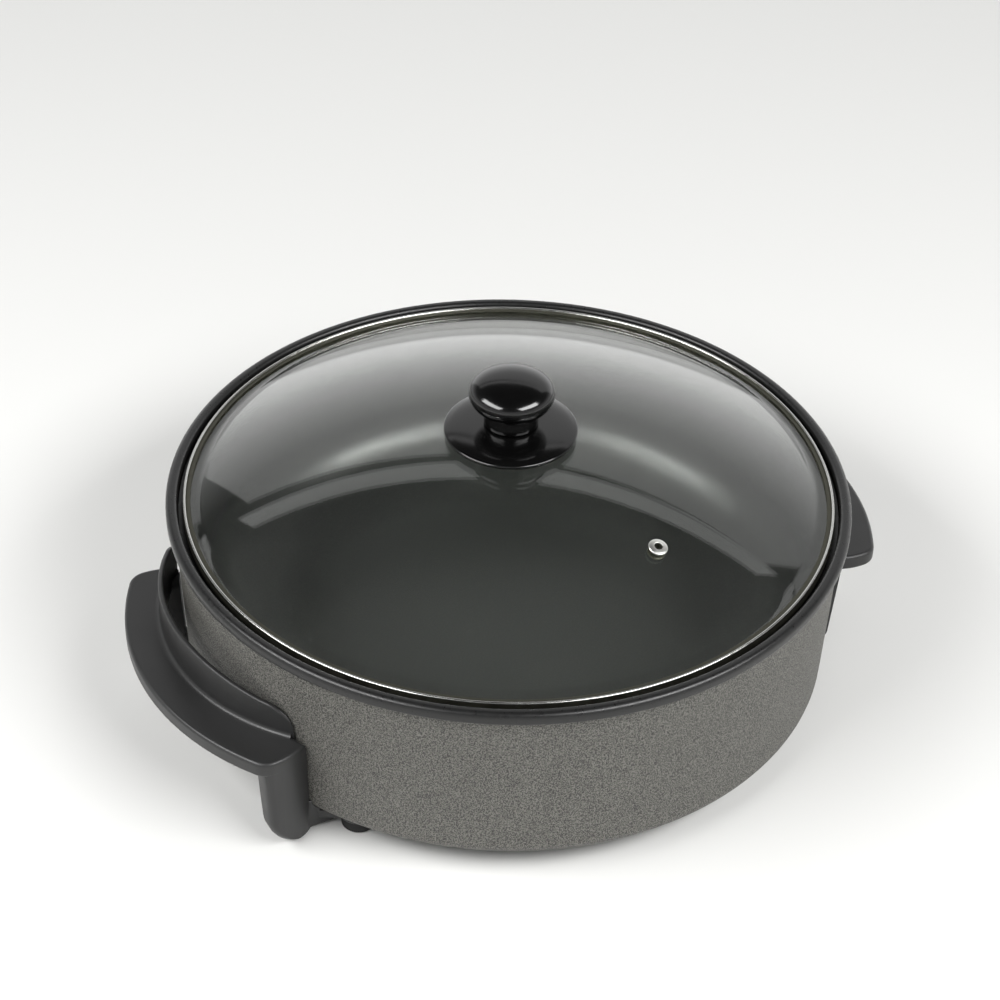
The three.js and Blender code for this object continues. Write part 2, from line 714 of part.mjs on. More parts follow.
function knobSkirt() {
  const inside = skirtRadius - skirtWall;
  return turnedRing([
    [screwBore, sealTop + seatGap],
    [sealRadius, sealTop + seatGap],
    [sealRadius, skirtTop - skirtWall],
    [knobFootRadius, skirtTop - skirtWall],
    [inside, skirtBottom + skirtEdge - skirtWall],
    [inside, domeHeight(inside) + seatGap],
    [skirtRadius, skirtBottom],
    [skirtRadius, skirtBottom + skirtEdge],
    [knobFootRadius, skirtTop],
    [screwBore, skirtTop],
  ], knobSteps);
}

function knobHead() {
  const widest = knobBottom + knobHeight - knobCrown - knobBrim / 2;
  const bore = insertRadius + seatGap;
  const waistAngle = degrees(Math.acos(knobWaistRadius / knobRadius));
  return turned([
    [0, knobBottom + insertLength + seatGap],
    [bore, knobBottom + insertLength + seatGap],
    [bore, knobBottom],
    [knobFootRadius, knobBottom],
    [knobFootRadius, knobBottom + knobFootHeight],
    [knobWaistRadius, knobBottom + knobFootHeight * 3 / 2],
    ...arc(0, widest - knobBrim / 2, knobRadius, -waistAngle, 0, 3, knobBelly),
    ...arc(0, widest + knobBrim / 2, knobRadius, 0, 90, 5, knobCrown),
  ], knobSteps);
}

// Knob, from the glass downwards
const gasketTop = domeHeight(gasketRadius, innerCurve) - seatGap;
const gasketBottom = gasketTop - sealThickness;
const discTop = gasketBottom - seatGap;
const discRecess = footWasherRadius + seatGap;
const discSeat = discTop - innerDiscStepHeight;
const knobWasherTop = discSeat - seatGap;
const knobWasherBottom = knobWasherTop - footWasherThickness;

function lowerGasket() {
  const sleeve = glassHoleRadius - seatGap;
  return turnedRing([
    [screwBore, gasketBottom], [gasketRadius, gasketBottom], [gasketRadius, gasketTop],
    [sleeve, gasketTop], [sleeve, domeTop], [screwBore, domeTop],
  ], footSteps);
}

function innerDisc() {
  const steps = Array.from({ length: innerDiscSteps }, (_, i) => {
    const radius = innerDiscRadius - i * innerDiscStepWidth;
    const top = discTop - i * innerDiscStepHeight;
    return [[radius, top], [radius, top - innerDiscStepHeight]];
  }).flat();
  return turnedRing([
    [screwBore, discSeat], [screwBore, discTop], ...steps,
    [discRecess, discTop - innerDiscSteps * innerDiscStepHeight], [discRecess, discSeat],
  ], knobSteps);
}

// Steam vent, drawn upright with the outside of the glass at height zero
const ventSealBottom = seatGap;
const ventFlangeBottom = ventSealBottom + ventSealThickness + seatGap;

function ventEyelet() {
  const tailTop = -glassThickness - seatGap;
  return turnedRing([
    [ventBoreRadius, tailTop - ventTailHeight],
    [ventTailRadius, tailTop - ventTailHeight],
    [ventTailRadius, tailTop],
    [ventBarrelRadius, tailTop],
    [ventBarrelRadius, ventFlangeBottom],
    [ventFlangeRadius, ventFlangeBottom],
    ...arc(ventFlangeRadius - ventFlangeHeight, ventFlangeBottom, ventFlangeHeight, 0, 90, 3),
    [ventBoreRadius, ventFlangeBottom + ventFlangeHeight],
  ], smallSteps);
}

// The base, put together
piece('pan', pan(), paint);
piece('heating_element', heatingElement(), sheathMetal);
clampAngles.forEach((angle, i) => {
  const number = i + 1;
  const [x, y] = clampScrewPlaces[i];
  const clampScrew = screw(clampUnderside, smallHeadRadius, smallHeadHeight, clampScrewRadius,
    screwTip);
  piece(`element_clamp_${number}`, elementClamp(), steel).rotation.z = angle;
  piece(`clamp_screw_${number}`, clampScrew, zinc).position.set(x, y, 0);
});

const ends = [['front', -1], ['rear', 1]];
ends.forEach(([end, side], i) => {
  const [x, y] = shroudScrewPlaces[i];
  const shroudScrew = screw(shroudTabUnderside, smallHeadRadius, smallHeadHeight,
    shroudScrewRadius, screwTip);
  piece(`terminal_pin_${end}`, terminalPin(side), nickel);
  piece(`pin_insulator_${end}`, pinInsulator(side), ceramic);
  piece(`shroud_screw_${end}`, shroudScrew, zinc).position.set(x, y, 0);
});
piece('probe_sleeve', probeSleeve(), nickel);
piece('socket_shroud', socketShroud(), steel);

piece('handle_right', handle(shallowLegTop, shallowLegTaper, shallowLegRound), moulding);
piece('handle_left', handle(deepLegTop, deepLegTaper, deepLegRound), moulding)
  .rotation.z = Math.PI;
footPlaces.forEach(([x, y], i) => {
  const number = i + 1;
  const washer = tube(footScrewRadius + seatGap, footWasherRadius,
    footWasherTop - footWasherThickness, footWasherTop);
  const footScrew = screw(footWasherTop - footWasherThickness, footHeadRadius, footHeadHeight,
    footScrewRadius, screwTip);
  piece(`foot_${number}`, foot(), rubber).position.set(x, y, 0);
  piece(`foot_washer_${number}`, washer, zinc).position.set(x, y, 0);
  piece(`foot_screw_${number}`, footScrew, zinc).position.set(x, y, 0);
});

// The lid, put together
piece('lid_glass', lidGlass(), glass, lid);
piece('lid_band', lidBand(), steel, lid);
piece('knob_head', knobHead(), gloss, lid);
piece('knob_skirt', knobSkirt(), gloss, lid);
piece('knob_insert',
  tube(screwBore, insertRadius, knobBottom, knobBottom + insertLength), brass, lid);
piece('knob_upper_seal', tube(screwBore, sealRadius, sealBottom, sealTop, footSteps), silicone, lid);
piece('knob_lower_gasket', lowerGasket(), silicone, lid);
piece('knob_inner_disc', innerDisc(), gloss, lid);
piece('knob_washer',
  tube(screwBore, footWasherRadius, knobWasherBottom, knobWasherTop), zinc, lid);
piece('knob_screw', screw(knobWasherBottom, knobScrewHeadRadius, knobScrewHeadHeight,
  knobScrewRadius, knobBottom + knobScrewReach), zinc, lid);

const vent = new THREE.Group();
vent.position.copy(ventPlace);
vent.quaternion.copy(ventTurn);
lid.add(vent);
piece('vent_eyelet', ventEyelet(), steel, vent);
piece('vent_seal', tube(ventBarrelRadius + seatGap, ventFlangeRadius - ventRimStep,
  ventSealBottom, ventSealBottom + ventSealThickness), silicone, vent);

export default skillet;
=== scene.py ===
# %% [markdown]
# # An electric skillet with a glass lid
#
# A round cast pan stands on two moulded handles. A tubular element heats it from below, a socket
# under the right handle takes a plug-in control, and a domed glass lid lies loose inside the rim.
# The measured model of the skillet is loaded first. Every piece made here sits where that model
# says, and moves with one of its two bodies: the base or the lid.

# %% Load the measured model
import math

import bmesh
import bpy
from mathutils import Matrix, Vector


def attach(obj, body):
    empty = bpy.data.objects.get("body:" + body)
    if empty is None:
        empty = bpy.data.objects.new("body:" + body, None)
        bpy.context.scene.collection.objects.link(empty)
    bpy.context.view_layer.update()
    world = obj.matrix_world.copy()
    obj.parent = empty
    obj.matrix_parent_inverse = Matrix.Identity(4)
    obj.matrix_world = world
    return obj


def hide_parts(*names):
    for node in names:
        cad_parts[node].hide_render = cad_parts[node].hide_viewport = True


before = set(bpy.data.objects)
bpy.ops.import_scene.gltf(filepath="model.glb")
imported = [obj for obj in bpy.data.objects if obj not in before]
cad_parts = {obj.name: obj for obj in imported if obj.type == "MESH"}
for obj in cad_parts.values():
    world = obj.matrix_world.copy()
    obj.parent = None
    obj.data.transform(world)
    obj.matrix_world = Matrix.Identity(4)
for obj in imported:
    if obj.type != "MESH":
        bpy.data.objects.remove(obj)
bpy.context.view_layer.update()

# %% [markdown]
# ## The camera
#
# The camera comes first, because every later choice is judged through it. It looks down on the
# skillet from the front left with a long lens. It is given as a matrix of three directions, since
# the picture is also turned slightly to one side, and that turn is easy to add to the directions.

# %% Camera
MM = 0.001
camera_place = Vector((-571.6, -980.3, 983.3)) * MM
look_down = math.radians(37.58)
look_left = math.radians(-30)
tilt = math.radians(1.5)
lens_mm = 92.53

turn = Matrix.Rotation(look_left, 3, "Z")
forward = turn @ Vector((0, math.cos(look_down), -math.sin(look_down)))
level_right = turn @ Vector((1, 0, 0))
level_up = turn @ Vector((0, math.sin(look_down), math.cos(look_down)))
right = level_right * math.cos(tilt) + level_up * math.sin(tilt)
up = level_up * math.cos(tilt) - level_right * math.sin(tilt)

camera = bpy.data.objects.new("camera", bpy.data.cameras.new("camera"))
camera.data.lens = lens_mm
camera.data.sensor_width = 36
facing = Matrix((right, up, -forward)).transposed().to_4x4()
camera.matrix_world = Matrix.Translation(camera_place) @ facing
bpy.context.scene.collection.objects.link(camera)
bpy.context.scene.camera = camera
print("camera:", [round(value, 3) for value in camera.location])

# %% [markdown]
# ## Colours and nodes
#
# Colours are written as the eye knows them, in hex, and one function turns them into the linear
# numbers that shaders need. One other function adds a node with its settings and its links.


# %% Helpers for finishes
def linear(hex_colour):
    """Turns a colour such as #7b7b74 into linear red, green and blue, and full alpha."""
    parts = [int(hex_colour[i:i + 2], 16) / 255 for i in (1, 3, 5)]
    return [p / 12.92 if p <= 0.04045 else ((p + 0.055) / 1.055) ** 2.4 for p in parts] + [1]


def add_node(finish, kind, settings, links=None):
    """Adds a node to a finish. Links name an input of the node and the output that feeds it."""
    node = finish.node_tree.nodes.new("ShaderNode" + kind)
    for name, value in settings.items():
        if name in node.inputs:
            node.inputs[name].default_value = value
        else:
            setattr(node, name, value)
    for name, source in (links or {}).items():
        finish.node_tree.links.new(source, node.inputs[name])
    return node


def new_finish(name, colour, roughness, **settings):
    """A finish with one main shader. The settings are the shader's own, such as Metallic."""
    finish = bpy.data.materials.new(name)
    finish.use_nodes = True
    shader = finish.node_tree.nodes["Principled BSDF"]
    shader.inputs["Base Color"].default_value = linear(colour)
    shader.inputs["Roughness"].default_value = roughness
    for setting, value in settings.items():
        shader.inputs[setting.replace("_", " ")].default_value = value
    return finish


def drive(finish, setting, source):
    """Feeds one setting of the main shader from a node's output."""
    shader = finish.node_tree.nodes["Principled BSDF"]
    finish.node_tree.links.new(source, shader.inputs[setting])


def spots(finish, size_mm, **settings):
    """A cloudy pattern, fixed to the piece. Its spots are once to twice this wide."""
    place = add_node(finish, "TexCoord", {})
    return add_node(finish, "TexNoise", {"Scale": 1 / (size_mm * MM), **settings},
                    {"Vector": place.outputs["Object"]}).outputs["Fac"]


def vary(finish, setting, source, low, high):
    """Lets a pattern move one number of the main shader. Most of a pattern lies in 0.3 to 0.7."""
    spread = add_node(finish, "MapRange", {"From Min": 0.3, "From Max": 0.7,
                                           "To Min": low, "To Max": high}, {"Value": source})
    drive(finish, setting, spread.outputs["Result"])


def tint(finish, source, dark, light, start=0.35, end=0.65):
    """Lets a pattern move the colour between two tones."""
    ramp = add_node(finish, "ValToRGB", {}, {"Fac": source})
    for stop, place, colour in zip(ramp.color_ramp.elements, (start, end), (dark, light)):
        stop.position = place
        stop.color = linear(colour)
    drive(finish, "Base Color", ramp.outputs["Color"])


def emboss(finish, source, height_mm, strength=1.0):
    """Lets a pattern dent the surface by this height."""
    bump = add_node(finish, "Bump", {"Strength": strength, "Distance": height_mm * MM},
                    {"Height": source})
    drive(finish, "Normal", bump.outputs["Normal"])


# %% [markdown]
# ## Finishes of the pan
#
# The outside of the casting is sprayed with a thick grey paint that dries to fine pebbles, about
# 1.5 mm wide. Light catches one side of each pebble, so the pattern goes into the bump. It also
# goes into the colour: the hollows between pebbles are painted darker and their tops lighter, a
# painted shade and painted highlight. The rim is baked black enamel, smooth but not mirror-like.
# The inside has a dark non-stick coating, which is satin, with tiny specks of filler.

# %% Paint, rim enamel and non-stick coating
pebbled_paint = new_finish("pebbled_paint", "#52514d", 0.5)
pebbles = spots(pebbled_paint, 0.7, Detail=1.0)
emboss(pebbled_paint, pebbles, 1.1)
# The pebbles also tint the colour, darker in the hollows and lighter on the tops: painted shade and
# painted highlight.
tint(pebbled_paint, pebbles, "#292825", "#75746e", 0.4, 0.6)
vary(pebbled_paint, "Roughness", pebbles, 0.45, 0.62)

rim_enamel = new_finish("rim_enamel", "#181818", 0.24, IOR=1.45)
enamel_ripple = spots(rim_enamel, 2.5, Detail=3.0)
emboss(rim_enamel, enamel_ripple, 0.02, 0.3)
vary(rim_enamel, "Roughness", enamel_ripple, 0.26, 0.38)

nonstick = new_finish("nonstick_coating", "#222322", 0.3)
filler = spots(nonstick, 0.9, Detail=2.0)
tint(nonstick, filler, "#1d1e1d", "#292a29", 0.4, 0.75)
emboss(nonstick, filler, 0.01, 0.15)
vary(nonstick, "Roughness", spots(nonstick, 30, Detail=2.0), 0.28, 0.33)

# %% [markdown]
# ## Finishes of the lid
#
# The lid is clear tempered glass. Lamps shine through a real pane, so for shadow rays the glass
# gives way to a plain see-through shader; otherwise the pan below it would go dark. The band is
# rolled stainless steel, polished on its bead and dull on the lip that lies on the glass. All of
# the band but its bead, and the vent's bore and the roll below the glass, get a darker steel
# colour that is painted shade. The vent is tumbled to a soft sheen. The knob is pressed from black
# phenolic resin with a high polish.

# %% Glass, steels of the lid and knob resin
clear_glass = new_finish("tempered_glass", "#f6f8f5", 0.0, Transmission_Weight=1.0, IOR=1.45)
pane = clear_glass.node_tree
see_through = add_node(clear_glass, "BsdfTransparent", {"Color": linear("#f0f2ef")})
ray = add_node(clear_glass, "LightPath", {})
either = add_node(clear_glass, "MixShader", {}, {"Fac": ray.outputs["Is Shadow Ray"]})
pane.links.new(pane.nodes["Principled BSDF"].outputs["BSDF"], either.inputs[1])
pane.links.new(see_through.outputs["BSDF"], either.inputs[2])
pane.links.new(either.outputs["Shader"], pane.nodes["Material Output"].inputs["Surface"])

band_steel = new_finish("rolled_stainless_steel", "#c2c2bf", 0.22, Metallic=1.0)
vary(band_steel, "Roughness", spots(band_steel, 6, Detail=4.0), 0.17, 0.28)

# A dull steel, coloured dark as painted shade for the band beside its bead and for the vent's bore.
painted_shade_steel = new_finish("satin_steel_painted_shade", "#55544b", 0.55, Metallic=1.0)
vary(painted_shade_steel, "Roughness", spots(painted_shade_steel, 4, Detail=4.0), 0.42, 0.58)

vent_steel = new_finish("tumbled_stainless_steel", "#deded9", 0.36, Metallic=1.0)
vary(vent_steel, "Roughness", spots(vent_steel, 2), 0.3, 0.44)

knob_resin = new_finish("polished_phenolic_resin", "#060606", 0.14, IOR=1.55)
vary(knob_resin, "Roughness", spots(knob_resin, 12, Detail=2.0), 0.12, 0.17)

# %% [markdown]
# ## Finishes of the handles and the small pieces
#
# The handles are moulded from heat-proof phenolic, a satin black with a very fine spark-eroded
# grain. The feet are natural rubber, the seals silicone. The steel sheath of the element turns
# brownish where it has been hot. Screws are zinc plated, contact pins nickel plated.

# %% Mouldings, rubber and metals
handle_resin = new_finish("satin_phenolic_moulding", "#222222", 0.4)
mould_grain = spots(handle_resin, 0.8, Detail=2.0)
emboss(handle_resin, mould_grain, 0.04, 0.35)
vary(handle_resin, "Roughness", spots(handle_resin, 25, Detail=2.0), 0.34, 0.46)

foot_rubber = new_finish("moulded_rubber", "#171717", 0.75)
emboss(foot_rubber, spots(foot_rubber, 0.7), 0.08, 0.5)

seal_silicone = new_finish("silicone_seal", "#242424", 0.6)
vary(seal_silicone, "Roughness", spots(seal_silicone, 3), 0.5, 0.7)

hot_sheath = new_finish("oxidised_element_sheath", "#5f5a55", 0.45, Metallic=0.9)
tint(hot_sheath, spots(hot_sheath, 14, Detail=3.0), "#4d4641", "#76716b")
vary(hot_sheath, "Roughness", spots(hot_sheath, 5), 0.38, 0.6)

sheet_steel = new_finish("rolled_sheet_steel", "#b9b9b5", 0.3, Metallic=1.0)
vary(sheet_steel, "Roughness", spots(sheet_steel, 4, Detail=5.0), 0.24, 0.4)

zinc_plate = new_finish("zinc_plated_steel", "#b4b2aa", 0.38, Metallic=1.0)
tint(zinc_plate, spots(zinc_plate, 3), "#a9a79d", "#c4c2ba")

nickel_plate = new_finish("nickel_plate", "#d2cfc6", 0.18, Metallic=1.0)
vary(nickel_plate, "Roughness", spots(nickel_plate, 3), 0.14, 0.26)

turned_brass = new_finish("turned_brass", "#c0a05a", 0.3, Metallic=1.0)
vary(turned_brass, "Roughness", spots(turned_brass, 1.5), 0.24, 0.4)

steatite = new_finish("steatite_ceramic", "#e8e2d2", 0.6)
tint(steatite, spots(steatite, 1.2), "#e0d9c8", "#eee9dc")

# %% [markdown]
# ## Shaping helpers
#
# Most pieces are round, so they start as a few corners of a cross-section. Each corner can be
# rounded, and the section is then spun round the axis. The others are blocks with rounded edges.
# Separate pieces keep a small clearance, and shapes that will be one piece overlap a little.
# Broad roundings are made of more segments than small ones.

# %% Sizes that many pieces share
merge_mm = 0.002
clearance = 0.3
overlap = 1.0
broad_rounding = 2.0
large_steps = 192


# %% Section, spin and sweep
def cleaned(shape):
    """Merges points that lie on each other and turns the faces outward."""
    bmesh.ops.remove_doubles(shape, verts=shape.verts[:], dist=merge_mm)
    bmesh.ops.recalc_face_normals(shape, faces=shape.faces[:])
    return shape


def closed_up(shape):
    """Fills the open ends of a shape and turns the faces outward."""
    open_edges = [edge for edge in shape.edges if edge.is_boundary]
    bmesh.ops.holes_fill(shape, edges=open_edges, sides=0)
    bmesh.ops.recalc_face_normals(shape, faces=shape.faces[:])
    return shape


def section(corners, closed=True):
    """Joins (radius, height) corners. A third number rounds the corner by about that radius."""
    shape = bmesh.new()
    points = [shape.verts.new((corner[0], 0, corner[1])) for corner in corners]
    for start, end in zip(points, points[1:]):
        shape.edges.new((start, end))
    if closed:
        shape.edges.new((points[-1], points[0]))
    for point, corner in zip(points, corners):
        if len(corner) > 2:
            bmesh.ops.bevel(shape, geom=[point], offset=corner[2], offset_type="OFFSET",
                            segments=3 if corner[2] < broad_rounding else 12, profile=0.5,
                            affect="VERTICES", material=-1)
    return shape


def spun(corners, steps=64, closed=True):
    """Spins a section once round the vertical axis. An open one starts and ends on the axis."""
    shape = section(corners, closed)
    bmesh.ops.spin(shape, geom=shape.verts[:] + shape.edges[:], cent=(0, 0, 0), axis=(0, 0, 1),
                   angle=2 * math.pi, steps=steps, use_merge=True)
    return cleaned(shape)


def swept(shape, start, sweep, steps):
    """Spins a closed section through a part of a turn and closes its two ends."""
    shape.transform(Matrix.Rotation(start, 4, "Z"))
    bmesh.ops.spin(shape, geom=shape.verts[:] + shape.edges[:], cent=(0, 0, 0), axis=(0, 0, 1),
                   angle=sweep, steps=steps, use_merge=False)
    return closed_up(shape)


# %% Blocks, arcs and small edits
def only(kind, geometry):
    """Picks the points or the edges out of what an operator made."""
    return [item for item in geometry if isinstance(item, kind)]


def moved(shape, x, y):
    """Shifts a shape sideways and gives it back."""
    shape.transform(Matrix.Translation((x, y, 0)))
    return shape


def rounded(shape, edges, rounding, segments=3):
    """Rounds some edges of a shape."""
    bmesh.ops.bevel(shape, geom=edges, offset=rounding, offset_type="OFFSET", segments=segments,
                    profile=0.5, affect="EDGES", material=-1)
    return shape


def cylinder(radius, low, high, rounding, steps=40):
    """A round pillar with its edges rounded."""
    return spun([(0, low), (radius, low, rounding), (radius, high, rounding), (0, high)],
                steps, closed=False)


def box(low, high, rounding=0.0):
    """A block between two corners, with its edges rounded."""
    shape = bmesh.new()
    size = [b - a for a, b in zip(low, high)]
    centre = [(a + b) / 2 for a, b in zip(low, high)]
    stretch = Matrix.Translation(centre) @ Matrix.Diagonal((*size, 1))
    bmesh.ops.create_cube(shape, size=1, matrix=stretch)
    return rounded(shape, shape.edges[:], rounding) if rounding else shape


def pushed(outline, way):
    """A flat outline of points, pushed along a direction into a closed block."""
    shape = bmesh.new()
    face = shape.faces.new([shape.verts.new(point) for point in outline])
    grown = bmesh.ops.extrude_face_region(shape, geom=[face])["geom"]
    bmesh.ops.translate(shape, verts=only(bmesh.types.BMVert, grown), vec=way)
    bmesh.ops.recalc_face_normals(shape, faces=shape.faces[:])
    return shape


def evenly(start, end, steps):
    """Numbers from a start to an end in equal steps."""
    return [start + (end - start) * i / steps for i in range(steps + 1)]


def arc(x, y, radius, start, end, steps):
    """Points on a round stretch between two angles in degrees."""
    angles = [math.radians(angle) for angle in evenly(start, end, steps)]
    return [(x + radius * math.cos(a), y + radius * math.sin(a)) for a in angles]


# %% [markdown]
# Shapes of one casting or moulding are joined by booleans, which need closed skins. A finished
# piece is turned from millimetres to metres, shaded smooth up to its sharp edges, and hung on a
# body of the model. It then stands for one or more solids of the measured model.


# %% Booleans and finished pieces
def combined(shapes, operation="UNION"):
    """Joins closed shapes into one skin, or cuts the first by the others."""
    holders = []
    for shape in shapes:
        holder = bpy.data.objects.new("holder", bpy.data.meshes.new("holder"))
        shape.to_mesh(holder.data)
        shape.free()
        bpy.context.scene.collection.objects.link(holder)
        holders.append(holder)
    for other in holders[1:]:
        step = holders[0].modifiers.new("step", "BOOLEAN")
        step.operation, step.solver, step.object = operation, "MANIFOLD", other
    whole = bmesh.new()
    whole.from_object(holders[0], bpy.context.evaluated_depsgraph_get())
    for holder in holders:
        bpy.data.meshes.remove(holder.data)
    bmesh.ops.remove_doubles(whole, verts=whole.verts[:], dist=merge_mm)
    return whole


def make_piece(name, shape, finishes, body, slot, *nodes, place=None, crease=40):
    """Turns a shape in millimetres into a piece that rides on a body and stands for nodes."""
    if place is not None:
        shape.transform(place)
    shape.transform(Matrix.Scale(MM, 4))
    mesh = bpy.data.meshes.new(name)
    shape.to_mesh(mesh)
    shape.free()
    mesh.shade_smooth()
    mesh.set_sharp_from_angle(angle=math.radians(crease))
    for finish in finishes:
        mesh.materials.append(finish)
    piece = bpy.data.objects.new(name, mesh)
    bpy.context.scene.collection.objects.link(piece)
    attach(piece, body)
    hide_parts(*nodes)
    print(f"{name}: {len(mesh.polygons)} faces")
    return piece


def even_shading(piece):
    """Keeps flat faces flat to the eye where they meet small rounded edges."""
    weights = piece.modifiers.new("even shading", "WEIGHTED_NORMAL")
    weights.keep_sharp = True
    return piece


# %% [markdown]
# ## The pan
#
# The pan is cast aluminium. Its wall leans out a little, so that the casting leaves its mould, and
# the ledge inside the rim carries the lid. The whole casting is one section spun round the axis,
# and each face gets its finish by where it lies: paint outside, enamel on the rim, non-stick
# inside.

# %% Sizes of the pan
rim_radius, rim_height, rim_underside, rim_root = 189.6, 121.0, 114.0, 0.6
wall_top, wall_bottom, underside, under_round = 185.7, 181.3, 13.6, 8.0
recess_radius, ledge_height, ledge_inner, ledge_round = 183.0, 113.9, 177.0, 1.2
floor_height, floor_edge, corner_width, corner_rise, corner_steps = 18.0, 176.0, 60.0, 40.0, 18
channel_radius, channel_gap, channel_wall, channel_face = 95.0, 3.6, 3.0, 6.7


def wall_radius(height):
    """Outer radius of the pan's wall at a height."""
    share = (height - underside) / (rim_underside - underside)
    return wall_bottom + share * (wall_top - wall_bottom)


# %% Casting
floor_corner = [(floor_edge - corner_width * (1 - math.sin(a)),
                 floor_height + corner_rise * (1 - math.cos(a)))
                for a in evenly(math.pi / 2, 0, corner_steps)]
casting = spun([
    (0, underside), (wall_bottom, underside, under_round), (wall_top, rim_underside, rim_root),
    (rim_radius, rim_underside, 1.2), (rim_radius, rim_height, 3.2),
    (recess_radius, rim_height, 2.5), (recess_radius, ledge_height, 0.5),
    (ledge_inner, ledge_height, ledge_round),
] + floor_corner + [(0, floor_height)], large_steps, closed=False)

# %% [markdown]
# Below the floor, two ribs hold the element in a channel. They stop where the element's ends turn
# out to the socket, so each rib is a small section spun through most of a turn and then closed.
# Round bosses take the screws.


# %% Ribs and bosses
def rib(near, gap_angle):
    """A rib below the pan, open around the +X side. Its top reaches into the casting."""
    far, sunk = near + channel_wall, underside + overlap
    corners = [(near, sunk), (near, channel_face, 0.6), (far, channel_face, 0.6), (far, sunk)]
    return swept(section(corners), gap_angle, 2 * math.pi - 2 * gap_angle, 120)


pin_y, exit_bend = 12.5, 14.0
exit_half_width = pin_y + exit_bend
inner_rib = channel_radius - channel_gap - channel_wall
parts = [casting]
for near in (inner_rib, channel_radius + channel_gap):
    parts.append(rib(near, math.asin(exit_half_width / near)))

foot_x, foot_y = 137.9, 86.16
foot_places = [(sx * foot_x, sy * foot_y) for sx in (-1, 1) for sy in (-1, 1)]
clamp_distance = 108.0
clamp_angles = [math.radians(angle) for angle in (60, 180, 300)]
clamp_places = [(clamp_distance * math.cos(a), clamp_distance * math.sin(a)) for a in clamp_angles]
shroud_screw_x, shroud_screw_y = 158.5, 25.0
shroud_places = [(shroud_screw_x, side * shroud_screw_y) for side in (-1, 1)]
boss_face, wide_boss, slim_boss = 10.2, 6.0, 5.0
for places, radius, face in ((foot_places, wide_boss, boss_face),
                             (clamp_places, slim_boss, channel_face),
                             (shroud_places, wide_boss, boss_face)):
    for x, y in places:
        parts.append(moved(cylinder(radius, face, underside + overlap, 0.5), x, y))
casting = combined(parts)

# %% Finishes of the casting, by where each face lies
for face in casting.faces:
    centre = face.calc_center_median()
    reach = math.hypot(centre.x, centre.y)
    on_rim = (centre.z > ledge_height - clearance
              or (centre.z > rim_underside - rim_root and reach > recess_radius))
    inside = centre.z > floor_height - clearance and reach < ledge_inner + ledge_round
    face.material_index = 1 if on_rim else 2 if inside else 0
make_piece("pan_casting", casting, [pebbled_paint, rim_enamel, nonstick], "base", "pan", "pan")

# %% [markdown]
# ## The heating element
#
# A steel tube filled with heating wire lies in the channel. Its two cold ends turn out, rise past
# the rounded edge of the pan and end behind the socket. A curve with a round bevel is the natural
# way to make a tube; it is turned into a mesh afterwards.

# %% Element path and tube
sheath_radius, sheath_height, pin_height = 3.3, 10.0, 17.0
rise_bend, first_rise_bend, straight_end = 9.0, 11.6, 1.5
exit_centre_x = math.sqrt((channel_radius + exit_bend) ** 2 - exit_half_width ** 2)
exit_angle = math.degrees(math.atan2(exit_half_width, exit_centre_x))
rise_start_x = math.sqrt((wall_bottom - under_round) ** 2 - pin_y ** 2)
rise_angle = math.acos(1 - (pin_height - sheath_height) / (first_rise_bend + rise_bend))
rise_end_x = rise_start_x + (first_rise_bend + rise_bend) * math.sin(rise_angle)
sheath_end_x = rise_end_x + straight_end

rise_degrees = math.degrees(rise_angle)
rise = (arc(rise_start_x, sheath_height + first_rise_bend, first_rise_bend, -90, rise_degrees - 90, 8)
        + arc(rise_end_x, pin_height - rise_bend, rise_bend, rise_degrees + 90, 90, 8)[1:]
        + [(sheath_end_x, pin_height)])
one_end = [(x, y, sheath_height) for x, y in
           arc(exit_centre_x, exit_half_width, exit_bend, exit_angle + 180, 270, 10)]
one_end += [(x, pin_y, z) for x, z in rise]
ring = [(x, y, sheath_height) for x, y in
        arc(0, 0, channel_radius, exit_angle, 360 - exit_angle, 140)][1:-1]
path = one_end[::-1] + ring + [(x, -y, z) for x, y, z in one_end]
print(f"element: {len(path)} points, its ends rise by {pin_height - sheath_height} mm")

line = bpy.data.curves.new("element_line", "CURVE")
line.dimensions = "3D"
line.bevel_depth = sheath_radius
line.bevel_resolution = 6
line.use_fill_caps = True
spline = line.splines.new("POLY")
spline.points.add(len(path) - 1)
for point, place in zip(spline.points, path):
    point.co = (*place, 1)
tube = bpy.data.objects.new("element_line", line)
sheath = bmesh.new()
sheath.from_mesh(tube.to_mesh())
bpy.data.objects.remove(tube)
make_piece("element_sheath", cleaned(sheath), [hot_sheath], "base", "element_sheath",
           "heating_element")

# %% [markdown]
# ## Screws and clamps
#
# All screws are alike but for their size: a cheese head with a hexagonal socket, and a shank that
# goes up into its boss. A hexagon and a circle are bridged to make the face of the head. The
# hexagon's edge is then pushed in for the socket, and the circle's edge is drawn along the head
# and the shank to the tip. Three steel bars hold the element up in its channel.


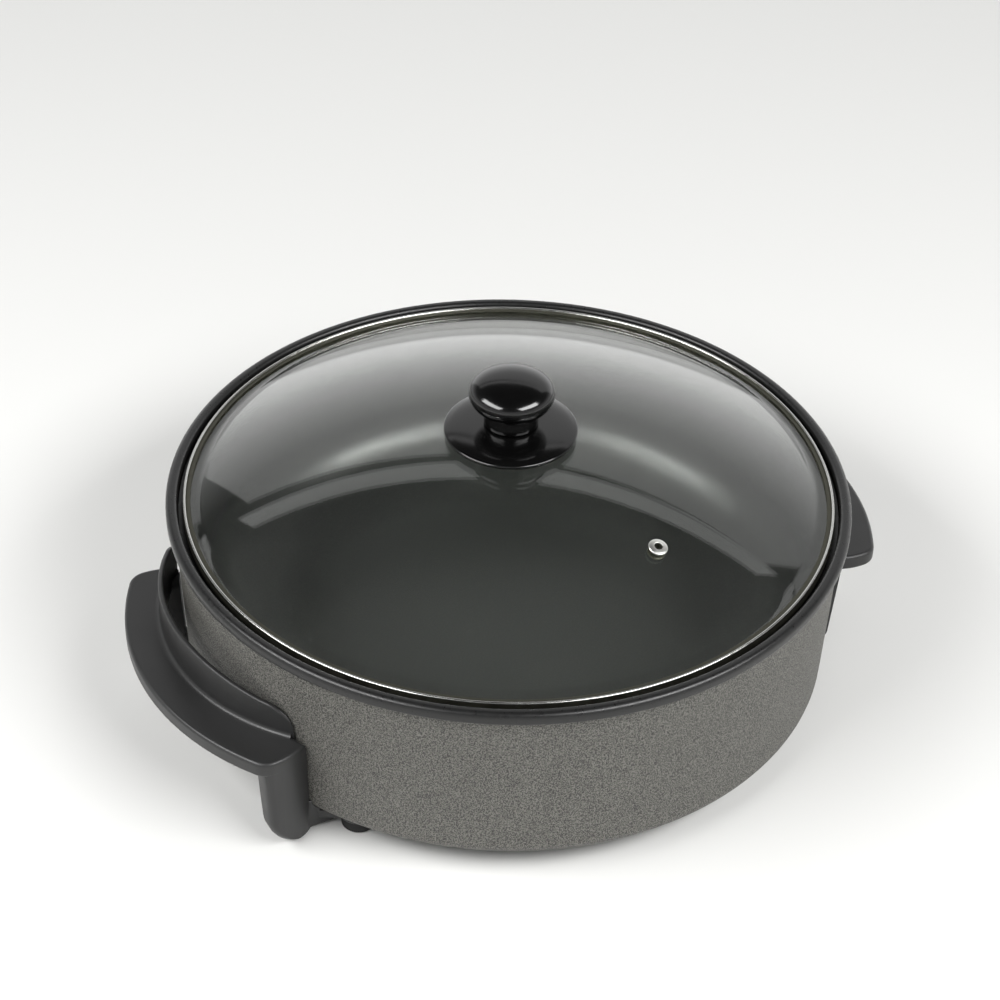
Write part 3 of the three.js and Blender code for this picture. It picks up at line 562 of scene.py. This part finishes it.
# %% Screw and washer shapes
def screw(face, head_radius, head_height, shank_radius, tip):
    """A screw with its head below a face and its shank pointing up."""
    narrowed, chamfer, hollow = head_radius * 0.9, head_height * 0.12, head_height / 2
    head_top = face - clearance
    head_bottom = head_top - head_height
    bottom = Matrix.Translation((0, 0, head_bottom))
    shape = bmesh.new()
    circle = bmesh.ops.create_circle(shape, segments=36, radius=narrowed, matrix=bottom)["verts"]
    hexagon = bmesh.ops.create_circle(shape, segments=6, radius=head_radius / 2, matrix=bottom)["verts"]
    bmesh.ops.bridge_loops(shape, edges=shape.edges[:])

    def border(verts):
        return [edge for edge in shape.edges
                if edge.is_boundary and all(vert in verts for vert in edge.verts)]

    sunk = only(bmesh.types.BMVert, bmesh.ops.extrude_edge_only(shape, edges=border(hexagon))["geom"])
    bmesh.ops.translate(shape, verts=sunk, vec=(0, 0, hollow))
    bmesh.ops.contextual_create(shape, geom=sunk)
    outer = border(circle)
    for radius, height in ((head_radius, head_bottom + chamfer), (head_radius, head_top),
                           (shank_radius, head_top), (shank_radius, tip), (0, tip)):
        grown = bmesh.ops.extrude_edge_only(shape, edges=outer)["geom"]
        outer = only(bmesh.types.BMEdge, grown)
        for vert in only(bmesh.types.BMVert, grown):
            reach = math.hypot(vert.co.x, vert.co.y) or 1
            vert.co = (vert.co.x * radius / reach, vert.co.y * radius / reach, height)
    return cleaned(shape)


def add_screw(name, node, body, face, sizes, place=None):
    """Makes a zinc-plated screw as a piece of its own."""
    make_piece(name, screw(face, *sizes), [zinc_plate], body, "zinc_screws", node, place=place)


def washer(inner, outer, low, high):
    """A flat ring with softened edges."""
    soft = (high - low) * 0.2
    return spun([(inner, low, soft), (outer, low, soft), (outer, high, soft), (inner, high, soft)], 40)


# %% Clamps over the element, with screws given by head, head height, shank and tip
screw_tip = 15.6
small_screw = (3.6, 2.0, 1.9, screw_tip)
clamp_half, clamp_thick, clamp_end = 6.0, 1.1, 2.4
clamp_top = channel_face - clearance
clamp_low = clamp_top - clamp_thick
for number, (angle, (x, y)) in enumerate(zip(clamp_angles, clamp_places), 1):
    bar = box((inner_rib - clamp_end, -clamp_half, clamp_low),
              (clamp_distance + clamp_half, clamp_half, clamp_top), 0.35)
    make_piece(f"clamp_bar_{number}", bar, [sheet_steel], "base", "sheet_steel",
               f"element_clamp_{number}", place=Matrix.Rotation(angle, 4, "Z"))
    add_screw(f"clamp_fixing_{number}", f"clamp_screw_{number}", "base", clamp_low, small_screw,
              Matrix.Translation((x, y, 0)))

# %% [markdown]
# ## The socket
#
# The control plugs on to two nickel-plated pins, and its feeler slides into a closed tube between
# them. A box of bent sheet steel surrounds them. The box is a block with its front left off and
# its corners rounded, which then gets the thickness of the sheet.

# %% Pins, beads and feeler tube
pin_radius, bead_width, bead_length = 3.0, 6.0, 7.0
tube_radius, tube_wall = 4.2, 0.9
pin_start = sheath_end_x + clearance
plate_x = pin_start + 2.5
shroud_front = plate_x + 17
pin_end = shroud_front - 2
shroud_half, shroud_low, shroud_high, sheet = 29.0, 3.0, 31.0, 1.0
tab_end, tab_half = 6.0, 4.0
tab_top = boss_face - clearance
tab_low = tab_top - sheet
along_x = Matrix.Rotation(math.radians(90), 4, "Y")


def lying(corners, y, closed):
    """A spun section laid along X at the height of the pins. Its heights run from the pan out."""
    shape = spun(corners, 40, closed)
    shape.transform(Matrix.Translation((0, y, pin_height)) @ along_x)
    return shape


for side, end in ((-1, "front"), (1, "rear")):
    y = side * pin_y
    pin = lying([(0, pin_start), (pin_radius, pin_start), (pin_radius, pin_end, 2.2), (0, pin_end)],
                y, False)
    make_piece(f"contact_pin_{end}", pin, [nickel_plate], "base", "nickel", f"terminal_pin_{end}")
    hole, bead_end = pin_radius + clearance, pin_start + bead_length
    bead = lying([(hole, pin_start), (bead_width, pin_start, 0.6), (bead_width, bead_end, 0.9),
                  (hole, bead_end, 0.3)], y, True)
    make_piece(f"ceramic_bead_{end}", bead, [steatite], "base", "ceramic", f"pin_insulator_{end}")
    add_screw(f"shroud_fixing_{end}", f"shroud_screw_{end}", "base", tab_low, small_screw,
              Matrix.Translation((shroud_screw_x, side * shroud_screw_y, 0)))
tube_back = wall_radius(pin_height + tube_radius) + clearance
tube_bore, tube_bottom = tube_radius - tube_wall, tube_back + tube_wall
feeler_tube = lying([(0, tube_back), (tube_radius, tube_back, 0.8), (tube_radius, pin_end, 0.3),
                     (tube_bore, pin_end, 0.2), (tube_bore, tube_bottom), (0, tube_bottom)], 0, False)
make_piece("feeler_tube", feeler_tube, [nickel_plate], "base", "nickel", "probe_sleeve")

# %% Sheet steel box round the pins
shell = box((plate_x, -shroud_half, shroud_low), (shroud_front, shroud_half, shroud_high))
front_face = max(shell.faces, key=lambda face: face.calc_center_median().x)
bmesh.ops.delete(shell, geom=[front_face], context="FACES_ONLY")
long_edges = [edge for edge in shell.edges
              if abs(edge.verts[0].co.x - edge.verts[1].co.x) > sheet]
rounded(shell, long_edges, 2, 4)
bmesh.ops.recalc_face_normals(shell, faces=shell.faces[:])
bmesh.ops.solidify(shell, geom=shell.faces[:], thickness=sheet)
tabs = [box((shroud_screw_x - tab_end, y - tab_half, tab_low),
            (plate_x + sheet / 2, y + tab_half, tab_top), 0.3)
        for y in (-shroud_screw_y, shroud_screw_y)]
make_piece("socket_box", combined([shell] + tabs), [sheet_steel], "base", "sheet_steel",
           "socket_shroud")

# %% [markdown]
# ## The handles
#
# Each handle is one moulding. A flat grip curves round the pan, a thin guard stands on its inner
# edge and keeps fingers off the hot wall, and two legs below its ends reach in under the pan to
# the feet. The legs of the left handle are deep, those of the right handle leave room for the
# control. Each part starts as a flat outline that is pushed into a block: the grip is drawn from
# above, the guard and the legs from the side. The guard is then bent to its curve, and the legs
# are cut to the grip's outer line.

# %% Sizes of a handle, drawn with +X pointing away from the pan
grip_reach, grip_arc, grip_half, grip_corner = 220.6, 151.6, 88.4, 11.5
grip_end_arc, grip_end_sweep = 35.0, 46.0
grip_top, grip_low, grip_top_round, grip_low_round = 65.5, 56.5, 2.2, 1.6
grip_centre = grip_reach - grip_arc
guard_centre, guard_outer, guard_inner, guard_shift = 80.0, 120.0, 117.0, -5.0
guard_half, guard_rise, guard_drop, guard_edge = 82.0, 24.0, 6.0, 1.2
guard_near_round, guard_far_round, guard_steps, fillet_curve = 17.0, 10.0, 33, 3.0
leg_thickness, leg_low, leg_top, leg_set_back = 15.0, 2.0, 62.0, 0.2
column_inner_x, arm_outer_y, arm_width, arm_top = 160.0, 81.0, 12.0, 21.6
arm_inner_x = foot_x + 12
wall_gap = 1.6


# %% Grip
def grip_side():
    """Half of the grip's outer line, from its middle to its tip at the wall."""
    corner_y, reach = grip_half - grip_corner, grip_arc - grip_corner
    corner_x = grip_centre + math.sqrt(reach ** 2 - corner_y ** 2)
    corner_angle = math.degrees(math.asin(corner_y / reach))
    return (arc(grip_centre, 0, grip_arc, 0, corner_angle, 28)
            + arc(corner_x, corner_y, grip_corner, corner_angle, 90, 10)[1:]
            + arc(corner_x, grip_half - grip_end_arc, grip_end_arc, 90, 90 + grip_end_sweep, 12)[1:])


def grip():
    """The flat grip between the guard and its outer edge."""
    room = wall_radius(grip_top) + wall_gap
    half = [point for point in grip_side() if math.hypot(*point) > room]
    inner = [(max(x, math.sqrt(room ** 2 - y ** 2)), y) for x, y in
             arc(guard_centre, guard_shift, guard_inner + 0.4, 43, -38, 20)]
    outline = half + inner + [(x, -y) for x, y in half[:0:-1]]
    shape = pushed([(x, y, grip_low) for x, y in outline], (0, 0, grip_top - grip_low))
    for height, rounding in ((grip_top, grip_top_round), (grip_low, grip_low_round)):
        level = [edge for edge in shape.edges
                 if all(abs(vert.co.z - height) < 0.01 for vert in edge.verts)]
        rounded(shape, level, rounding, 4)
    return shape


# %% Finger guard
def finger_guard():
    """The thin upright guard. It is cut flat, its edges are rounded, and then it is bent."""
    top = grip_top + guard_rise
    halves = []
    for rounding in (guard_near_round, guard_far_round):
        crest = guard_half - rounding
        half = [(crest * i / 12, top - guard_drop * (i / 12) ** 2) for i in range(12)]
        half += arc(crest, top - guard_drop - rounding, rounding, 90, 0, 12)
        halves.append(half + [(guard_half, grip_low + overlap)])
    outline = halves[0] + [(-y, z) for y, z in halves[1][:0:-1]]
    shape = pushed([(guard_inner, y, z) for y, z in outline], (guard_outer - guard_inner, 0, 0))
    rims = [edge for edge in shape.edges
            if abs(edge.verts[0].co.x - edge.verts[1].co.x) < 0.01
            and max(vert.co.z for vert in edge.verts) > grip_top]
    rounded(shape, rims, guard_edge, 4)
    for i in range(1 - guard_steps, guard_steps):
        everything = shape.verts[:] + shape.edges[:] + shape.faces[:]
        bmesh.ops.bisect_plane(shape, geom=everything, dist=0.001,
                               plane_co=(0, guard_half * i / guard_steps, 0), plane_no=(0, 1, 0))
    for vert in shape.verts:
        angle = math.asin(vert.co.y / guard_outer)
        vert.co.x, vert.co.y = vert.co.x * math.cos(angle), vert.co.x * math.sin(angle)
    return moved(shape, guard_centre, guard_shift)


def guard_fillet():
    """The small hollow curve where the guard's outer face meets the grip."""
    back, front, top = guard_outer - overlap, guard_outer + fillet_curve, grip_top + fillet_curve
    hollow = arc(front, top, fillet_curve, 180, 270, 5)
    corners = [(back, grip_top - overlap), (back, top)] + hollow + [(front, grip_top - overlap)]
    half_sweep = math.asin((guard_half - fillet_curve) / guard_outer)
    shape = swept(section(corners), -half_sweep, 2 * half_sweep, 60)
    return moved(shape, guard_centre, guard_shift)


# %% Legs
def soften(shape, rounding, angle=40):
    """Rounds every edge that is sharper than an angle."""
    sharp = [edge for edge in shape.edges
             if len(edge.link_faces) == 2 and edge.calc_face_angle() > math.radians(angle)]
    return rounded(shape, sharp, rounding)


def leg(top_x, end_x, rounding, edge_round):
    """One leg, as a side view that is pushed out sideways and rounded."""
    side = [(column_inner_x, leg_low)]
    side += arc(end_x - rounding, leg_low + rounding, rounding, -90, 0, 14)
    side += [(top_x, leg_top), (column_inner_x, leg_top)]
    column = pushed([(x, grip_half - leg_set_back, z) for x, z in side],
                    (0, leg_set_back - leg_thickness, 0))
    below_grip = grip_side()
    inner_x = column_inner_x - 5
    below_grip += [(inner_x, below_grip[-1][1] - 4), (inner_x, 0)]
    limit = pushed([(x, y, 0) for x, y in below_grip], (0, 0, leg_top + overlap))
    return combined([soften(column, edge_round), limit], "INTERSECT")


# %% Arms with the pads that stand on the feet
screw_hole, foot_top = 2.8, 7.4
pad_low = foot_top + clearance
pad_radius, pad_top, sleeve_radius, sleeve_floor = 11.0, 13.2, 6.3, 9.9


def loft(rings):
    """Joins rings of points, each like the one before, and closes both ends."""
    shape = bmesh.new()
    loops = []
    for ring_points in rings:
        verts = [shape.verts.new(point) for point in ring_points]
        loops.append([shape.edges.new((a, b)) for a, b in zip(verts, verts[1:] + verts[:1])])
    for before, after in zip(loops, loops[1:]):
        bmesh.ops.bridge_loops(shape, edges=before + after)
    return closed_up(shape)


def arm():
    """The arm that reaches in under the pan, the neck at its end and the pad on the foot."""
    half_arm = arm_width / 2
    bar = box((arm_inner_x, arm_outer_y - arm_width, leg_low + 0.2),
              (column_inner_x + half_arm, arm_outer_y, arm_top), 1.0)
    start = Vector((arm_inner_x + half_arm, arm_outer_y - half_arm))
    middle = Vector((foot_x, foot_y))
    along = (start - middle).normalized()
    across, end = along.orthogonal() * 7, middle + along * 8
    corners = [start - across, start + across, end + across, end - across]
    neck = loft([[(p.x, p.y, z) for p in corners] for z in (pad_low + 0.2, pad_top - 0.1)])
    pad = spun([(screw_hole, pad_low, 0.3), (pad_radius, pad_low, 0.8), (pad_radius, pad_top, 0.5),
                (sleeve_radius, pad_top, 0.3), (sleeve_radius, sleeve_floor),
                (screw_hole, sleeve_floor)])
    return [bar, soften(neck, 0.6), moved(pad, foot_x, foot_y)]


# %% [markdown]
# The front half of a handle is mirrored for its rear half, and all parts become one moulding. At
# the end the room of the pan is cut out of everything, so that the inner sides follow the wall.


# %% Room for the pan
def pan_room():
    """The space that the pan takes, with its clearance. It is cut out of the handles."""
    low, high = underside - clearance, grip_top + guard_rise + overlap
    wall = wall_radius(arm_top)
    return spun([(0, low), (wall_bottom + clearance, low, under_round), (wall + clearance, arm_top),
                 (wall + wall_gap, arm_top), (wall_radius(high) + wall_gap, high), (0, high)],
                large_steps, closed=False)


# %% Whole handles
def handle(top_x, end_x, rounding, edge_round):
    """One whole handle, drawn for the right side."""
    front = [leg(top_x, end_x, rounding, edge_round)] + arm()
    rear = [part.copy() for part in front]
    for part in rear:
        bmesh.ops.scale(part, vec=(1, -1, 1), verts=part.verts[:])
        bmesh.ops.reverse_faces(part, faces=part.faces[:])
    whole = combined([grip(), finger_guard(), guard_fillet()] + front + rear)
    return combined([whole, pan_room()], "DIFFERENCE")


half_turn = Matrix.Rotation(math.pi, 4, "Z")
shallow = handle(top_x=172.5, end_x=169.0, rounding=10, edge_round=2)
deep = handle(top_x=192.3, end_x=189.8, rounding=20, edge_round=4.5)
even_shading(make_piece("moulded_handle_right", shallow, [handle_resin], "base", "handles",
                        "handle_right"))
even_shading(make_piece("moulded_handle_left", deep, [handle_resin], "base", "handles",
                        "handle_left", place=half_turn))

# %% [markdown]
# ## The feet
#
# Four rubber feet stand below the pads. A washer and a screw hold each foot and clamp the pad to
# the pan at the same time, so they lie sunk in the rubber, clear of the table.

# %% Feet with washers and screws
foot_radius, well_radius, well_floor = 9.5, 5.7, 5.2
washer_radius, washer_low, washer_thick = 5.4, 3.9, 1.0
large_screw = (4.4, 2.4, 2.5, screw_tip)
for number, (x, y) in enumerate(foot_places, 1):
    spot = Matrix.Translation((x, y, 0))
    rubber = spun([(well_radius, 0, 0.5), (foot_radius, 0, 1.0), (foot_radius, foot_top, 0.6),
                   (screw_hole, foot_top), (screw_hole, well_floor), (well_radius, well_floor)])
    make_piece(f"rubber_foot_{number}", rubber, [foot_rubber], "base", "feet", f"foot_{number}",
               place=spot)
    ring = washer(screw_hole, washer_radius, washer_low, washer_low + washer_thick)
    make_piece(f"foot_ring_{number}", ring, [zinc_plate], "base", "zinc_screws",
               f"foot_washer_{number}", place=spot)
    add_screw(f"foot_fixing_{number}", f"foot_screw_{number}", "base", washer_low, large_screw, spot)

# %% [markdown]
# ## The glass lid
#
# The lid is a shallow dome of one even thickness with a flat edge. Its section has an outer and an
# inner curve round the same centre. A ring of rolled steel is folded over the edge: a polished
# round bead outside, and a dull lip that lies on the glass. The ring's faces off the bead are
# coloured darker, a painted shade.

# %% Dome
dome_top, dome_curve, glass_wall, glass_hole = 158.5, 401.7, 4.0, 5.0
glass_edge, dome_edge, edge_low, edge_high = 179.5, 173.5, 115.1, 119.1
dome_centre, inner_curve = dome_top - dome_curve, dome_curve - glass_wall


def dome(radius, curve=dome_curve):
    """Height of the dome's outer or inner side at a distance from the axis."""
    return dome_centre + math.sqrt(curve ** 2 - radius ** 2)


inner_edge = math.sqrt(inner_curve ** 2 - (edge_low - dome_centre) ** 2)
outer_side = [(r, dome(r)) for r in evenly(glass_hole, dome_edge, 40)]
inner_side = [(r, dome(r, inner_curve)) for r in evenly(glass_hole, inner_edge, 40)]
pane_shape = spun(outer_side + [(glass_edge, edge_high, 1.2), (glass_edge, edge_low, 1.2)]
                  + inner_side[::-1], large_steps)
make_piece("glass_dome", pane_shape, [clear_glass], "lid", "glass", "lid_glass", crease=60)
print(f"the dome rises {dome_top - edge_high:.1f} mm above its edge")

# %% Band
band_radius, band_low, band_sheet, fold_width = 180.2, 114.2, 0.6, 4.6
bead_radius, bead_centre, bead_height, bead_start = 0.85, 179.2, 119.8, 116.9
lip_inner, lip_height, lip_thick = 176.0, edge_high + clearance, 0.4
fold_inner, fold_top = band_radius - fold_width, band_low + band_sheet
band_inner = band_radius - band_sheet
bead_slack, bead_foot = 0.05, bead_height - 0.2
band = spun([(fold_inner, band_low, 0.25), (band_radius, band_low, 0.8),
             (band_radius, bead_start, 0.8)] + arc(bead_centre, bead_height, bead_radius, 0, 180, 14)
            + [(bead_centre - bead_radius - 0.2, lip_height + 0.1),
               (lip_inner, lip_height + lip_thick, 0.15), (lip_inner, lip_height),
               (band_inner, lip_height), (band_inner, fold_top), (fold_inner, fold_top)], large_steps)
# Faces on the bead get the polished steel; all others get the darker steel, a painted shade.
for face in band.faces:
    centre = face.calc_center_median()
    across = math.hypot(centre.x, centre.y) - bead_centre
    on_bead = math.hypot(across, centre.z - bead_height) < bead_radius + bead_slack
    face.material_index = 0 if on_bead and centre.z > bead_foot else 1
make_piece("lid_band_ring", band, [band_steel, painted_shade_steel], "lid", "lid_steel", "lid_band", crease=50)

# %% [markdown]
# ## The knob
#
# The knob is a polished head on a wide skirt, which hides the hole in the glass. Inside it sits a
# brass insert for the screw, and soft rings keep the resin and the steel off the glass. Below the
# glass, a stepped disc carries the screw's pull.

# %% Skirt
skirt_radius, skirt_edge, skirt_rise, skirt_wall = 36.75, 3.9, 2.7, 2.2
seal_radius, seal_thick, neck_radius, swell_radius, hollow_radius = 12.0, 1.0, 15.0, 35.4, 15.3
seal_low = dome_top + clearance
seal_top = seal_low + seal_thick
skirt_low = dome(skirt_radius) + clearance
swell_low = skirt_low + skirt_edge
skirt_top = swell_low + skirt_rise
hub_low, hollow_top = seal_top + clearance, skirt_top - skirt_wall
swell = [(neck_radius + (swell_radius - neck_radius) * share,
          swell_low + skirt_rise * (1 - share ** 2) ** 0.8) for share in evenly(1, 0, 14)]
skirt_foot = [(33.0, 1.4), (33.5, 0.6), (34.6, 0.1, 0.3), (skirt_radius, 1.7, 1.2)]
knob_skirt = spun([(screw_hole, hub_low), (seal_radius, hub_low), (seal_radius, hollow_top),
                   (hollow_radius, hollow_top)]
                  + [(radius, skirt_low + rise, *rounding) for radius, rise, *rounding in skirt_foot]
                  + [(skirt_radius, swell_low - 0.4, 1.0)] + swell + [(screw_hole, skirt_top)], 128)
make_piece("knob_base", knob_skirt, [knob_resin], "lid", "knob", "knob_skirt")

# %% Head and its insert
knob_low, knob_top = skirt_top + clearance, 194.4
knob_radius, waist, crown, belly, brim = 23.4, 14.5, 10.0, 13.0, 1.2
insert_radius, insert_length = 5.0, 17.0
pocket, pocket_top = insert_radius + clearance, knob_low + insert_length + clearance
brim_high = knob_top - crown
waist_angle = math.acos(waist / knob_radius)
under = [(knob_radius * math.cos(a), brim_high - brim + belly * math.sin(a))
         for a in evenly(-waist_angle, 0, 14)]
over = [(knob_radius * math.cos(a), brim_high + crown * math.sin(a))
        for a in evenly(0, math.pi / 2, 24)[:-1]]
knob_shape = spun([(0, pocket_top), (pocket, pocket_top), (pocket, knob_low),
                   (neck_radius, knob_low, 1.2), (waist + 0.3, knob_low + 3.5), (waist, knob_low + 6)]
                  + under + over + [(0, knob_top)], 128, closed=False)
make_piece("knob_grip", knob_shape, [knob_resin], "lid", "knob", "knob_head", crease=50)
make_piece("brass_insert", washer(screw_hole, insert_radius, knob_low, knob_low + insert_length),
           [turned_brass], "lid", "brass", "knob_insert")

# %% Seals on both sides of the glass
make_piece("upper_seal", washer(screw_hole, seal_radius, seal_low, seal_top), [seal_silicone],
           "lid", "seals", "knob_upper_seal")
gasket_radius, collar_radius = 17.0, 4.7
gasket_top = dome(gasket_radius, inner_curve) - clearance
gasket_low = gasket_top - seal_thick
gasket = spun([(screw_hole, gasket_low), (gasket_radius, gasket_low, 0.2),
               (gasket_radius, gasket_top, 0.2), (collar_radius, gasket_top),
               (collar_radius, dome_top, 0.2), (screw_hole, dome_top)])
make_piece("lower_gasket", gasket, [seal_silicone], "lid", "seals", "knob_lower_gasket")

# %% Stepped disc and its screw
disc_radius, step_width, step_height, step_count = 21.0, 3.8, 3.3, 3
disc_top = gasket_low - clearance
disc_seat, disc_low = disc_top - step_height, disc_top - step_count * step_height
steps_down = []
for i in range(step_count):
    reach, level = disc_radius - i * step_width, disc_top - i * step_height
    steps_down += [(reach, level, 0.5), (reach, level - step_height, 0.5)]
disc = spun([(screw_hole, disc_seat), (screw_hole, disc_top)] + steps_down
            + [(well_radius, disc_low, 0.3), (well_radius, disc_seat)], 96)
make_piece("stepped_disc", disc, [knob_resin], "lid", "knob", "knob_inner_disc")
ring_top = disc_seat - clearance
ring_low = ring_top - washer_thick
make_piece("knob_ring", washer(screw_hole, washer_radius, ring_low, ring_top), [zinc_plate],
           "lid", "zinc_screws", "knob_washer")
long_screw = (4.8, 3.0, 2.5, knob_low + 12)
add_screw("knob_fixing", "knob_screw", "lid", ring_low, long_screw)

# %% [markdown]
# ## The steam vent
#
# A steel eyelet is rolled over on both sides of the glass, with a soft ring below its flange. It
# stands square to the dome, so it is drawn upright and then turned to the dome's slope.

# %% Eyelet and seal
vent_distance, vent_angle = 112.4, math.radians(-75.8)
vent_normal = Vector((vent_distance * math.cos(vent_angle), vent_distance * math.sin(vent_angle),
                      dome(vent_distance) - dome_centre)).normalized()
upright = Vector((0, 0, 1))
vent_place = (Matrix.Translation(upright * dome_centre + vent_normal * dome_curve)
              @ upright.rotation_difference(vent_normal).to_matrix().to_4x4())
vent_bore, vent_neck, vent_roll, vent_flange = 2.2, 3.2, 4.8, 5.3
flange_low, flange_edge, flange_top, vent_seal_top = 1.1, 1.9, 2.6, 0.9
roll_top = -glass_wall - clearance
roll_low = roll_top - 1.0
eyelet = spun([(vent_bore, roll_low, 0.3), (vent_roll, roll_low, 0.45), (vent_roll, roll_top, 0.3),
               (vent_neck, roll_top), (vent_neck, flange_low), (vent_flange, flange_low, 0.3),
               (vent_flange, flange_edge, 0.5), (vent_bore, flange_top, 0.6)])
# The bore and the roll below the glass get the darker steel, a painted shade.
for face in eyelet.faces:
    centre = face.calc_center_median()
    in_the_bore = math.hypot(centre.x, centre.y) < vent_bore + 0.1
    face.material_index = centre.z < flange_low - 0.1 or in_the_bore
make_piece("vent_tube", eyelet, [vent_steel, painted_shade_steel], "lid", "lid_steel", "vent_eyelet",
           place=vent_place)
vent_ring = washer(vent_neck + clearance, vent_roll, clearance, vent_seal_top)
make_piece("vent_ring", vent_ring, [seal_silicone], "lid", "seals", "vent_seal", place=vent_place)

# %% [markdown]
# ## Floor and light
#
# The skillet stands on a plain pale floor. Two wide soft lamps in front of it, left and right,
# light the wall and give the highlights on the knob. Behind it stand a lit card and a narrow lit
# strip above the card, both leaning a little. Nobody sees them directly, but the glass mirrors
# them, and that puts the veil on its far half. The surroundings are bright near the floor and
# dark overhead, which keeps the near half of the glass clear.

# %% Floor
floor_shape = bmesh.new()
bmesh.ops.create_grid(floor_shape, x_segments=1, y_segments=1, size=6)
floor_mesh = bpy.data.meshes.new("floor")
floor_shape.to_mesh(floor_mesh)
floor_shape.free()
floor_mesh.materials.append(new_finish("pale_floor", "#dededc", 0.6))
floor_piece = bpy.data.objects.new("floor", floor_mesh)
floor_piece.location.z = -0.0002
bpy.context.scene.collection.objects.link(floor_piece)

# %% Surroundings
world = bpy.data.worlds.new("studio")
bpy.context.scene.world = world
world.use_nodes = True
where = add_node(world, "TexCoord", {})
split = add_node(world, "SeparateXYZ", {}, {"Vector": where.outputs["Generated"]})
shade = add_node(world, "ValToRGB", {}, {"Fac": split.outputs["Z"]})
background = world.node_tree.nodes["Background"]
world.node_tree.links.new(shade.outputs["Color"], background.inputs["Color"])
tones = [(0.1, "#ffffff"), (0.45, "#5c5c5c"), (0.9, "#343434")]
while len(shade.color_ramp.elements) < len(tones):
    shade.color_ramp.elements.new(tones[-1][0])
for stop, (height, tone) in zip(shade.color_ramp.elements, tones):
    stop.position = height
    stop.color = linear(tone)

# %% Lamps
aim = Vector((0, 0, 0.13))
straight_back, card_distance = 90 + math.degrees(look_left), 1.6


def soft_light(name, turn_to, climb, distance, width, height, radiance):
    """A rectangular lamp in a direction from the skillet, in degrees, that points back at it."""
    lamp = bpy.data.lights.new(name, "AREA")
    lamp.shape = "RECTANGLE"
    lamp.size, lamp.size_y = width, height
    lamp.energy = radiance * math.pi * width * height
    holder = bpy.data.objects.new(name, lamp)
    way = (Matrix.Rotation(math.radians(turn_to), 3, "Z")
           @ Matrix.Rotation(math.radians(-climb), 3, "Y")) @ Vector((1, 0, 0))
    holder.location = way * distance + aim
    holder.rotation_euler = (-way).to_track_quat("-Z", "Y").to_euler()
    holder.visible_camera = False
    bpy.context.scene.collection.objects.link(holder)
    print(f"{name}: {lamp.energy:.1f} W")
    return holder


def card(name, start, end, low, high, lean, radiance):
    """A lit card behind the skillet, square to the view, given by its sides and its lean."""
    light = soft_light(name, straight_back, 0, card_distance, end - start, high - low, radiance)
    light.location += level_right * (start + end) / 2
    light.location.z = (low + high) / 2
    light.rotation_euler.rotate_axis("Z", -math.radians(lean))


soft_light("left_box", 179, 42, 1.9, width=1.7, height=0.62, radiance=11.5)
soft_light("right_box", -67, 43, 1.9, width=1.5, height=0.62, radiance=13.5)
card("backdrop", -1.2, 2.2, low=-0.35, high=1.77, lean=13, radiance=0.74)
card("high_strip", -1.62, 2.1, low=1.82, high=2.08, lean=10, radiance=0.95)
bpy.context.scene.view_settings.view_transform = "Standard"
